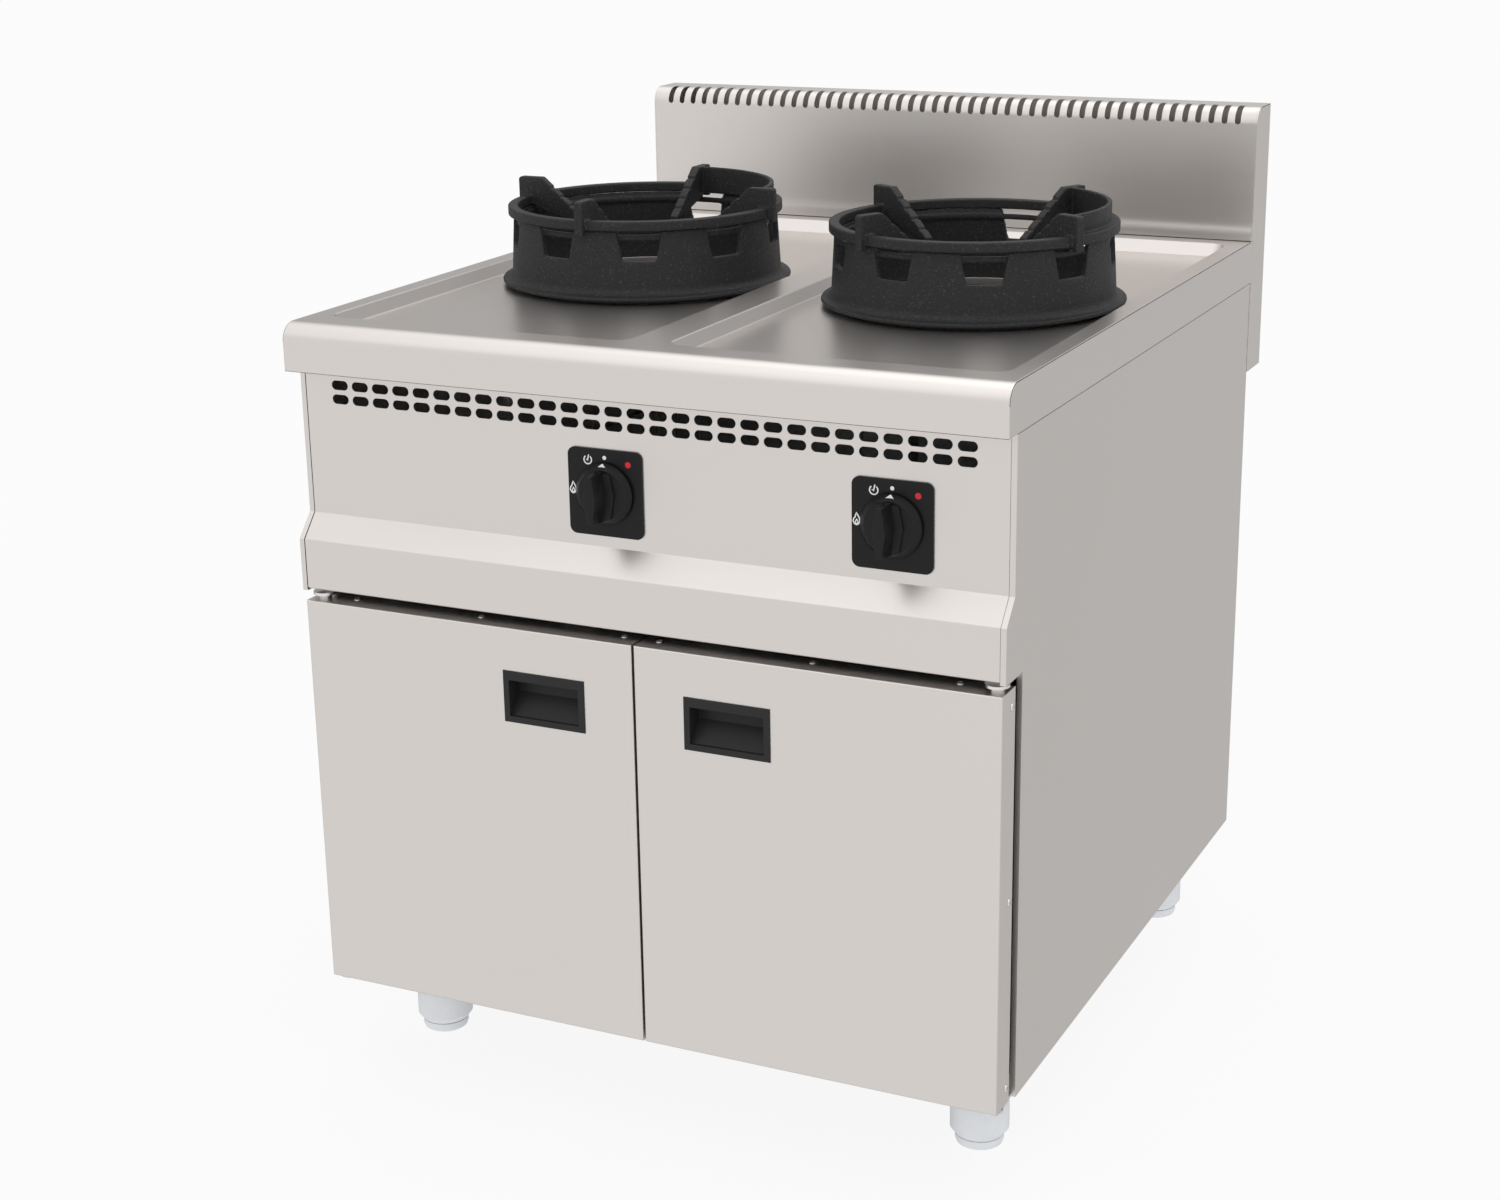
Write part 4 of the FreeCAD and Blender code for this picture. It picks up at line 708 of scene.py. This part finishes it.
def collarProfile(s):
    bore = s["topRadius"] - s["wall"] + s["ledgeWidth"]
    slant = (s["wallRadius"] - s["topRadius"]) / (s["height"] - s["rim"])
    flareX = s["wallRadius"] + s["flare"] - slant * s["flare"]
    points = [(s["wallRadius"] - s["wall"], 0), (s["wallRadius"], 0), (s["wallRadius"], s["footLift"])]
    rimX, radius = s["footRadius"] - s["rimRound"], s["rimRound"]
    points += arcPoints(rimX, s["footLift"] + radius, radius, -90, 0, 4)
    points += arcPoints(rimX, s["rim"] - radius, radius, 0, 90, 4)
    points += arcPoints(flareX, s["rim"] + s["flare"], s["flare"], 270, 183, 8)
    points += [(s["topRadius"], s["height"]), (bore, s["height"])]
    points.append(points[0])
    return [(x * mm, 0, z * mm) for x, z in points]


def castingSkin(size):
    # one closed skin, softened as a sand casting is
    return [("REMESH", {"mode": "VOXEL", "voxel_size": size * mm}),
            ("SMOOTH", {"factor": 0.5, "iterations": 1})]


windowedCollar = collarTree()
for side in ("left", "right"):
    s = collarSizes
    bore = s["topRadius"] - s["wall"]
    profile = collarProfile(s)
    centre = middle("burner_cap_" + side)
    sizes = {
        "Sill Height": s["sill"], "Cut Top": s["height"] + s["cutRise"], "Sill Width": s["sillWidth"],
        "Top Width": s["topWidth"], "Cut Inner": bore - s["cutReach"],
        "Cut Outer": s["wallRadius"] + s["cutReach"], "Ledge Inner": bore,
        "Ledge Outer": bore + s["ledgeWidth"] + s["ledgeRoot"], "Ledge Low": s["ledgeLow"],
        "Ledge Top": s["ledgeTop"]}
    values = {label: size * mm for label, size in sizes.items()}
    values.update({
        "Profile Points": len(profile), "Segments": s["segments"], "Windows": s["windows"],
        "Centre": (centre.x, centre.y, s["seat"] * mm), "First Window": math.radians(s["firstWindow"]),
        "Window Pitch": math.radians(s["windowPitch"])})
    collar = growPiece("collarCasting_" + side, windowedCollar, linesMesh([profile]), values,
                       materials["castIron"], castingSkin(s["skin"]), s["smoothAngle"])
    place(collar, side + "_collar", "cast_iron", "collar_" + side)
print("collars made")


# ---------- wok rings ----------
ringSizes = {
    "outer": 156.4, "bandWidth": 11.4, "low": 915.3, "high": 926.1, "finReach": 162.5,
    "finThickness": 10.0, "finTop": 947.1, "finFlat": 30.0, "tipRadius": 72.0, "tipDrop": 50.0,
    "tipHeight": 6.0, "hookDrop": 5.0, "crest": 2.0, "lugDrop": 6.0, "lugWidth": 8.0,
    "lugOuter": 142.2, "notches": 4, "notchDepth": 1.6, "notchWidth": 4.0, "lipOuter": 147.0,
    "lipWall": 5.0, "lipTop": 946.1,
    "fins": 4, "turn": {"left": 1.0, "right": -27.0}, "skin": 1.1, "smoothAngle": 180,
    "bandSteps": 181, "lipSteps": 46,
}


def ringTree():
    tree, given = newNodesTree("wokRing", {
        "Centre": (0.0, 0.0, 0.0), "Turn": 0.0, "Fins": 4, "Band Inner": 0.14, "Band Outer": 0.15,
        "Band Low": 0.91, "Band High": 0.92, "Lip Inner": 0.14, "Lip Outer": 0.147, "Lip High": 0.94,
        "Lip Sweep": math.pi / 2})
    finPitch = calc(tree, "DIVIDE", 2 * math.pi, given["Fins"])
    fins = repeatAround(tree, given["Geometry"], given["Fins"], 0.0, finPitch)
    band = bentBar(tree, given["Band Inner"], given["Band Outer"], given["Band Low"], given["Band High"],
                   0.0, 2 * math.pi, ringSizes["bandSteps"])
    lip = bentBar(tree, given["Lip Inner"], given["Lip Outer"], given["Band Low"], given["Lip High"],
                  0.0, given["Lip Sweep"], ringSizes["lipSteps"])
    together = addNode(tree, "GeometryNodeJoinGeometry")
    for part in (fins, band, lip):
        tree.links.new(part, together.inputs[0])
    endTree(tree, movedTo(tree, together.outputs[0], given["Turn"], given["Centre"]), materials["castIron"])
    return tree


def finPlate(s):
    start = Vector((s["finReach"] - s["finFlat"], 0, s["finTop"]))
    end = Vector((s["tipRadius"], 0, s["finTop"] - s["tipDrop"]))
    along = (end - start).normalized()
    inward = Vector((-along.z, 0, along.x)) * s["notchDepth"]
    pitch = (end - start).length / (s["notches"] + 1)
    points = [(s["finReach"], s["low"] - s["hookDrop"]), (s["finReach"], s["finTop"] - s["crest"]),
              (s["finReach"] - s["crest"], s["finTop"]), (start.x, start.z)]
    for i in range(s["notches"]):
        near = start + along * (pitch * (i + 1))
        far = near + along * s["notchWidth"]
        points += [(p.x, p.z) for p in (near, near + inward, far + inward, far)]
    lugLow = s["low"] - s["lugDrop"]
    points += [(end.x, end.z), (end.x, end.z - s["tipHeight"]), (s["lugOuter"] - s["lugWidth"], lugLow),
               (s["lugOuter"], lugLow), (s["lugOuter"], s["low"]),
               (s["outer"], s["low"]), (s["outer"], s["low"] - s["hookDrop"])]
    bm = bmesh.new()
    half = s["finThickness"] / 2
    face = bm.faces.new([bm.verts.new((x * mm, -half * mm, z * mm)) for x, z in points])
    grown = bmesh.ops.extrude_face_region(bm, geom=[face])["geom"]
    far = [v for v in grown if isinstance(v, bmesh.types.BMVert)]
    bmesh.ops.translate(bm, vec=(0, 2 * half * mm, 0), verts=far)
    bmesh.ops.recalc_face_normals(bm, faces=bm.faces)
    return bm


wokRing = ringTree()
for side in ("left", "right"):
    s = ringSizes
    centre = middle("burner_cap_" + side)
    sizes = {
        "Band Inner": s["outer"] - s["bandWidth"], "Band Outer": s["outer"], "Band Low": s["low"],
        "Band High": s["high"], "Lip Inner": s["lipOuter"] - s["lipWall"], "Lip Outer": s["lipOuter"],
        "Lip High": s["lipTop"]}
    values = {label: size * mm for label, size in sizes.items()}
    values.update({"Centre": (centre.x, centre.y, 0.0), "Turn": math.radians(s["turn"][side]),
                   "Fins": s["fins"]})
    ring = growPiece("wokRingCasting_" + side, wokRing, finPlate(s), values, materials["castIron"],
                     castingSkin(s["skin"]), s["smoothAngle"])
    place(ring, side + "_ring", "cast_iron", "wok_ring_" + side)
print("wok rings made")


# ---------- knobs ----------
knobSizes = {
    "rearRadius": 32.0, "faceRadius": 26.0, "skirt": 6.0, "step": 3.5, "stepLength": 46.0, "stepWidth": 23.0,
    "stepBelly": 4.5, "grip": 21.7, "gripLength": 49.0, "gripWidth": 5.6, "gripBelly": 4.0, "draft": 1.2,
    "edge": 0.6, "bore": 4.05, "boreDepth": 20.7, "pointerFoot": 0.42, "pointerTip": 0.88,
    "pointerWidth": 8.4, "pointerInk": 0.12, "pointerSteps": 6, "pointerTaper": 0.93, "overlap": 0.5,
    "boreSides": 24, "rimSides": 96, "easeSegments": 3, "easeAngle": 28, "smoothAngle": 40,
}


def loftedShell(rings):
    bm = bmesh.new()
    loops = [[bm.verts.new(p) for p in ring] for ring in rings]
    for a, b in zip(loops, loops[1:]):
        for i in range(len(a)):
            j = (i + 1) % len(a)
            bm.faces.new((a[i], a[j], b[j], b[i]))
    bm.faces.new(list(reversed(loops[0])))
    bm.faces.new(loops[-1])
    bmesh.ops.recalc_face_normals(bm, faces=bm.faces)
    return bm


def sixSided(centre, y, length, width, belly):
    half, w = length / 2, width / 2
    return [centre + Vector((x * mm, 0, z * mm)) + Vector((0, y * mm, 0)) for x, z in (
        (-w, half), (w, half), (w + belly, 0), (w, -half), (-w, -half), (-w - belly, 0))]


def circlePoints(centre, y, radius, count):
    return [centre + Vector((radius * mm * math.cos(2 * math.pi * i / count), y * mm,
                             radius * mm * math.sin(2 * math.pi * i / count))) for i in range(count)]


def united(name, base, others, material, s):
    for other, operation in others:
        join = base.modifiers.new("join", "BOOLEAN")
        join.operation = operation
        join.solver = "EXACT"
        join.object = other
    ease = base.modifiers.new("ease", "BEVEL")
    ease.width = s["edge"] * mm
    ease.segments = s["easeSegments"]
    ease.limit_method = "ANGLE"
    ease.angle_limit = math.radians(s["easeAngle"])
    plain = finished(base, name, material, s["smoothAngle"])
    for other, _ in others:
        bpy.data.objects.remove(other)
    return plain


def knobPiece(side, s):
    low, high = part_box("knob_" + side)
    centre = Vector(((low.x + high.x) / 2, high.y, (low.z + high.z) / 2))
    material = materials["knobPlastic"]
    face, stepFace = -s["skirt"], -s["skirt"] - s["step"]
    skirt = meshPiece("skirt", loftedShell([
        circlePoints(centre, 0, s["rearRadius"], s["rimSides"]),
        circlePoints(centre, face, s["faceRadius"], s["rimSides"])]), material)
    step = meshPiece("step", loftedShell([sixSided(centre, y, s["stepLength"], s["stepWidth"], s["stepBelly"])
                                          for y in (face + s["overlap"], stepFace)]), material)
    rootLength, rootWidth = (s[key] + 2 * s["draft"] for key in ("gripLength", "gripWidth"))
    grip = meshPiece("grip", loftedShell([
        sixSided(centre, stepFace + s["overlap"], rootLength, rootWidth, s["gripBelly"]),
        sixSided(centre, stepFace - s["grip"], s["gripLength"], s["gripWidth"], s["gripBelly"])]), material)
    bore = meshPiece("bore", loftedShell([circlePoints(centre, y, s["bore"], s["boreSides"])
                                          for y in (1, -s["boreDepth"])]), material)
    knob = united("knobMoulding_" + side, skirt, [(step, "UNION"), (grip, "UNION"), (bore, "DIFFERENCE")],
                  material, s)
    place(knob, side + "_knob", "black_plastic", "knob_" + side)
    return centre


def inkPatch(name, rows, thickness, material):
    # a thin printed patch: rows of points and the way each stands off the surface
    bm = bmesh.new()
    for lift, inwards in ((-inkSink, True), (thickness * mm, False)):
        layer = [[bm.verts.new(p + out * lift) for p, out in row] for row in rows]
        for a, b in zip(layer, layer[1:]):
            for i in range(len(a) - 1):
                corners = (a[i], a[i + 1], b[i + 1], b[i])
                bm.faces.new(corners[::-1] if inwards else corners)
    bmesh.ops.bridge_loops(bm, edges=[e for e in bm.edges if e.is_boundary])
    bmesh.ops.recalc_face_normals(bm, faces=bm.faces)
    return meshPiece(name, bm, material, False)


def knobPointer(side, s, centre):
    # white triangle on the top of the skirt, its point towards the plate
    rows = []
    slope = math.atan2(s["rearRadius"] - s["faceRadius"], s["skirt"])
    steps = s["pointerSteps"]
    for i in range(steps + 1):
        t = s["pointerFoot"] + (s["pointerTip"] - s["pointerFoot"]) * i / steps
        radius = s["faceRadius"] + (s["rearRadius"] - s["faceRadius"]) * t
        half = s["pointerWidth"] / 2 * (1 - i / steps * s["pointerTaper"]) / radius
        row = []
        for j in range(steps + 1):
            a = math.pi / 2 + half - 2 * half * j / steps
            out = Vector((math.cos(a) * math.cos(slope), -math.sin(slope), math.sin(a) * math.cos(slope)))
            row.append((centre + Vector((radius * mm * math.cos(a), -s["skirt"] * (1 - t) * mm,
                                         radius * mm * math.sin(a))), out))
        rows.append(row)
    return place(inkPatch("knobPointer_" + side, rows, s["pointerInk"], materials["whitePrint"]),
                 side + "_knob", "black_plastic")


for side in ("left", "right"):
    knobPointer(side, knobSizes, knobPiece(side, knobSizes))
print("knobs made")


# ---------- printed marks on the plates behind the knobs ----------
markSizes = {
    "ink": 0.12, "stroke": 1.3, "dot": (0.0, 36.5, 2.1), "pilot": (-19.0, 33.0, 4.3),
    "flame": (-37.0, 2.0, 5.2), "redDot": (26.5, 31.5, 3.2), "pilotArc": (125, 421, 12),
    "spark": ((-1.9, 0.6), (-0.4, -1.3), (1.2, 5.4)),
    "innerFlame": (0.2, -2.0, 0.4), "innerStroke": 0.8,
}


def strokeMesh(bm, path, width, origin, closed=False):
    # a flat line of even width, path in (x, z) mm on the plate's face
    count = len(path)
    lines = ([], [])
    for i, (x, z) in enumerate(path):
        before = path[i - 1] if (i or closed) else path[i]
        after = path[(i + 1) % count] if (i < count - 1 or closed) else path[i]
        along = Vector((after[0] - before[0], after[1] - before[1])).normalized()
        for line, push in zip(lines, (width / 2, -width / 2)):
            line.append((x - along.y * push, z + along.x * push))
    last = count if closed else count - 1
    for i in range(last):
        j = (i + 1) % count
        solidPatch(bm, [lines[0][i], lines[0][j], lines[1][j], lines[1][i]], origin)


def solidPatch(bm, corners, origin):
    back = [bm.verts.new(origin + Vector((x * mm, inkSink, z * mm))) for x, z in corners]
    fore = [bm.verts.new(origin + Vector((x * mm, -markSizes["ink"] * mm, z * mm))) for x, z in corners]
    bm.faces.new(back)
    bm.faces.new(fore[::-1])
    for i in range(len(corners)):
        j = (i + 1) % len(corners)
        bm.faces.new((back[i], back[j], fore[j], fore[i]))


def disc(x, z, radius, count=28):
    return [(x + radius * math.cos(2 * math.pi * i / count), z + radius * math.sin(2 * math.pi * i / count))
            for i in range(count)]


def flamePath(x, z, size):
    outline = [(0.0, 1.35), (0.30, 0.85), (0.62, 0.30), (0.66, -0.30), (0.40, -0.80), (0.0, -1.0),
               (-0.40, -0.80), (-0.66, -0.30), (-0.55, 0.15), (-0.30, 0.40), (-0.16, 0.85)]
    return [(x + px * size, z + pz * size) for px, pz in outline]


for side in ("left", "right"):
    low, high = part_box("bezel_" + side)
    origin = Vector(((low.x + high.x) / 2, low.y, (low.z + high.z) / 2))
    s = markSizes
    white = bmesh.new()
    solidPatch(white, disc(*s["dot"]), origin)
    px, pz, size = s["pilot"]
    strokeMesh(white, [(px + size * math.cos(math.radians(a)), pz + size * math.sin(math.radians(a)))
                       for a in range(*s["pilotArc"])], s["stroke"], origin)
    strokeMesh(white, [(px + x, pz + z) for x, z in s["spark"]], s["stroke"], origin)
    fx, fz, flameSize = s["flame"]
    dx, dz, share = s["innerFlame"]
    inner = flamePath(fx + dx, fz + dz, flameSize * share)
    strokeMesh(white, flamePath(fx, fz, flameSize), s["stroke"], origin, True)
    strokeMesh(white, inner, s["stroke"] * s["innerStroke"], origin, True)
    bmesh.ops.recalc_face_normals(white, faces=white.faces)
    place(meshPiece("plateMarks_" + side, white, materials["whitePrint"], False), "root", "black_plastic")
    red = bmesh.new()
    solidPatch(red, disc(*s["redDot"]), origin)
    bmesh.ops.recalc_face_normals(red, faces=red.faces)
    place(meshPiece("plateRedDot_" + side, red, materials["redPrint"], False), "root", "black_plastic")
print("plate marks made")


# ---------- screws ----------
screwSizes = {"radius": 4.0, "height": 1.9, "recessLength": 4.6, "recessWidth": 1.0, "recessDepth": 1.1}


def screwTree():
    # cross-recessed pan heads, one at each seed vertex, their axis along its normal
    tree, given = newNodesTree("panHeadScrews", {
        "Head Radius": 0.004, "Head Height": 0.002, "Recess Length": 0.0046, "Recess Width": 0.001,
        "Recess Depth": 0.001})
    ball = addNode(tree, "GeometryNodeMeshUVSphere",
                   {"Segments": 24, "Rings": 12, "Radius": given["Head Radius"]})
    flat = calc(tree, "DIVIDE", given["Head Height"], given["Head Radius"])
    dome = addNode(tree, "GeometryNodeTransform",
                   {"Geometry": ball.outputs[0], "Scale": combine(tree, 1.0, 1.0, flat)})
    cut = addNode(tree, "GeometryNodeMeshBoolean", operation="DIFFERENCE")
    tree.links.new(dome.outputs[0], cut.inputs[0])
    size = calc(tree, "MULTIPLY", given["Head Radius"], 4.0)
    below = addNode(tree, "GeometryNodeMeshCube", {"Size": combine(tree, size, size, size)}).outputs[0]
    drop = combine(tree, 0.0, 0.0, calc(tree, "MULTIPLY", size, -0.5))
    lowered = addNode(tree, "GeometryNodeTransform", {"Geometry": below, "Translation": drop})
    tree.links.new(lowered.outputs[0], cut.inputs[1])
    depth = calc(tree, "MULTIPLY", given["Recess Depth"], 2.0)
    rise = combine(tree, 0.0, 0.0, given["Head Height"])
    for a, b in (("Recess Length", "Recess Width"), ("Recess Width", "Recess Length")):
        recess = addNode(tree, "GeometryNodeMeshCube", {"Size": combine(tree, given[a], given[b], depth)})
        raised = addNode(tree, "GeometryNodeTransform", {"Geometry": recess.outputs[0], "Translation": rise})
        tree.links.new(raised.outputs[0], cut.inputs[1])
    outward = addNode(tree, "GeometryNodeInputNamedAttribute", {"Name": "outward"},
                      data_type="FLOAT_VECTOR").outputs[0]
    turn = addNode(tree, "FunctionNodeAlignRotationToVector", {"Vector": outward}, axis="Z").outputs[0]
    heads = addNode(tree, "GeometryNodeInstanceOnPoints",
                    {"Points": given["Geometry"], "Instance": cut.outputs[0], "Rotation": turn}).outputs[0]
    endTree(tree, heads, materials["brightSteel"])
    return tree


def looseParts(node):
    # centre box of every loose part of a CAD node
    bm = bmesh.new()
    bm.from_mesh(nodes[node].data)
    bmesh.ops.remove_doubles(bm, verts=bm.verts, dist=mergeReach)
    seen, boxes = set(), []
    for start in bm.verts:
        if start.index in seen:
            continue
        stack, found = [start], []
        seen.add(start.index)
        while stack:
            vert = stack.pop()
            found.append(vert.co.copy())
            for edge in vert.link_edges:
                other = edge.other_vert(vert)
                if other.index not in seen:
                    seen.add(other.index)
                    stack.append(other)
        low = Vector([min(p[k] for p in found) for k in range(3)])
        high = Vector([max(p[k] for p in found) for k in range(3)])
        boxes.append((low, high))
    bm.free()
    return boxes


def screwSeeds(places):
    bm = bmesh.new()
    layer = bm.verts.layers.float_vector.new("outward")
    for spot, outward in places:
        vert = bm.verts.new(spot)
        vert[layer] = outward
    return bm


panHeads = screwTree()


def screwHeads(name, node, body, outwardOf, s):
    places = []
    for low, high in looseParts(node):
        outward = outwardOf(low, high)
        spot = (low + high) / 2
        axis = max(range(3), key=lambda k: abs(outward[k]))
        surface = high[axis] - s["height"] * mm if outward[axis] > 0 else low[axis] + s["height"] * mm
        spot[axis] = surface
        places.append((spot, outward))
    sizes = {"Head Radius": s["radius"], "Head Height": s["height"], "Recess Length": s["recessLength"],
             "Recess Width": s["recessWidth"], "Recess Depth": s["recessDepth"]}
    values = {label: size * mm for label, size in sizes.items()}
    heads = growPiece(name, panHeads, screwSeeds(places), values, materials["brightSteel"])
    return place(heads, body, "bright_steel", node)


def doorScrewWay(low, high):
    size = high - low
    if size.z > size.x:
        return Vector((0, 0, 1))
    return Vector((1 if low.x > 0 else -1, 0, 0))


for side in ("left", "right"):
    screwHeads("doorScrewHeads_" + side, "door_%s_screws" % side, side + "_door", doorScrewWay, screwSizes)
rearSizes = dict(screwSizes, radius=3.0, height=1.5, recessLength=3.4, recessWidth=0.8, recessDepth=0.8)
screwHeads("backPanelScrewHeads", "back_panel_screws", "root", lambda low, high: Vector((0, 1, 0)), rearSizes)
print("screws made")


# ---------- floor, lights and camera ----------
studio = {
    "floorSize": 60.0, "floorGlow": 0.90, "floorDiffuse": 0.06, "front": 1.15, "backLeft": 0.50,
    "backRight": 0.83, "overhead": 1.35, "overheadRight": 0.85, "acrossRange": (-0.6, 0.6),
    "aheadRange": (0.5, -0.6), "upRange": (0.40, 0.85), "highBackRange": (-0.50, 0.15),
    "rightwardRange": (-0.62, -0.28),
    "backdrop": 0.955, "keyPower": 5.0, "keySize": 2.6, "keyPlace": (-1.2, -2.6, 3.4),
    "keyTarget": (0, 0, 0.6), "floorDrop": 0.0002,
}


def floorMaterial(s):
    # plain pale to the eye; to the steel it is part of the soft room around it
    material = bpy.data.materials.new("paleFloor")
    material.use_nodes = True
    tree = material.node_tree
    tree.nodes.clear()
    glow = addNode(tree, "ShaderNodeEmission", {"Color": (1, 1, 1, 1), "Strength": s["floorGlow"]})
    matt = addNode(tree, "ShaderNodeBsdfDiffuse", {"Color": (s["floorDiffuse"],) * 3 + (1,)})
    seen = addNode(tree, "ShaderNodeAddShader", {0: glow.outputs[0], 1: matt.outputs[0]})
    clear = addNode(tree, "ShaderNodeBsdfTransparent")
    rays = addNode(tree, "ShaderNodeLightPath")
    mixed = addNode(tree, "ShaderNodeMixShader", {0: rays.outputs["Is Camera Ray"], 1: clear.outputs[0],
                                                  2: seen.outputs[0]})
    out = addNode(tree, "ShaderNodeOutputMaterial")
    tree.links.new(mixed.outputs[0], out.inputs["Surface"])
    return material


def softRoom(s):
    # a wide soft studio: bright overhead and in front, calmer behind the range
    world = bpy.data.worlds.new("softRoom")
    scene.world = world
    world.use_nodes = True
    tree = world.node_tree
    tree.nodes.clear()
    way = addNode(tree, "ShaderNodeTexCoord").outputs["Generated"]
    x, y, z = separate(tree, way)
    across = ramp(tree, x, *s["acrossRange"], s["backLeft"], s["backRight"])
    ahead = ramp(tree, y, *s["aheadRange"], easing="SMOOTHSTEP")
    level = blendValues(tree, ahead, across, s["front"])
    up = ramp(tree, z, *s["upRange"], easing="SMOOTHSTEP")
    highBack, rightward = ramp(tree, y, *s["highBackRange"]), ramp(tree, x, *s["rightwardRange"])
    high = calc(tree, "ADD", s["overhead"], multiplied(tree, highBack, rightward, s["overheadRight"]))
    room = addNode(tree, "ShaderNodeBackground", {"Strength": blendValues(tree, up, level, high)})
    plain = addNode(tree, "ShaderNodeBackground", {"Color": (s["backdrop"],) * 3 + (1,), "Strength": 1.0})
    rays = addNode(tree, "ShaderNodeLightPath")
    mixed = addNode(tree, "ShaderNodeMixShader", {0: rays.outputs["Is Camera Ray"], 1: room.outputs[0],
                                                  2: plain.outputs[0]})
    out = addNode(tree, "ShaderNodeOutputWorld")
    tree.links.new(mixed.outputs[0], out.inputs["Surface"])


def addFloor(s):
    half = s["floorSize"]
    bm = bmesh.new()
    corners = ((-1, -1), (1, -1), (1, 1), (-1, 1))
    bm.faces.new([bm.verts.new((x * half, y * half, -s["floorDrop"])) for x, y in corners])
    floor = meshPiece("studioFloor", bm, floorMaterial(s), False)


def addKeyLight(s):
    light = bpy.data.lights.new("softKey", "AREA")
    light.shape = "SQUARE"
    light.size = s["keySize"]
    light.energy = s["keyPower"]
    key = newObject("softKey", light)
    key.location = s["keyPlace"]
    key.rotation_euler = (Vector(s["keyTarget"]) - key.location).to_track_quat("-Z", "Y").to_euler()


cameraSetup = {
    "place": (1.1528, -2.54255, 1.3502), "target": (-0.01049, -0.14475, 0.5094), "roll": -0.95, "lens": 60.12,
    "sensor": 36.0, "nearest": 0.05, "furthest": 200,
}


def addCamera(s):
    data = bpy.data.cameras.new("photoCamera")
    data.sensor_fit = "HORIZONTAL"
    data.sensor_width = s["sensor"]
    data.lens = s["lens"]
    data.clip_start = s["nearest"]
    data.clip_end = s["furthest"]
    camera = newObject("photoCamera", data)
    spot, target = Vector(s["place"]), Vector(s["target"])
    ahead = (target - spot).normalized()
    level = ahead.cross(Vector((0, 0, 1))).normalized()
    upward = level.cross(ahead)
    roll = math.radians(s["roll"])
    right = level * math.cos(roll) + upward * math.sin(roll)
    top = upward * math.cos(roll) - level * math.sin(roll)
    turn = Matrix((right, top, -ahead)).transposed()
    camera.matrix_world = Matrix.Translation(spot) @ turn.to_4x4()
    scene.camera = camera


softRoom(studio)
addFloor(studio)
addKeyLight(studio)
addCamera(cameraSetup)
scene.view_settings.view_transform = "Standard"
print("studio set up")

bpy.context.view_layer.update()
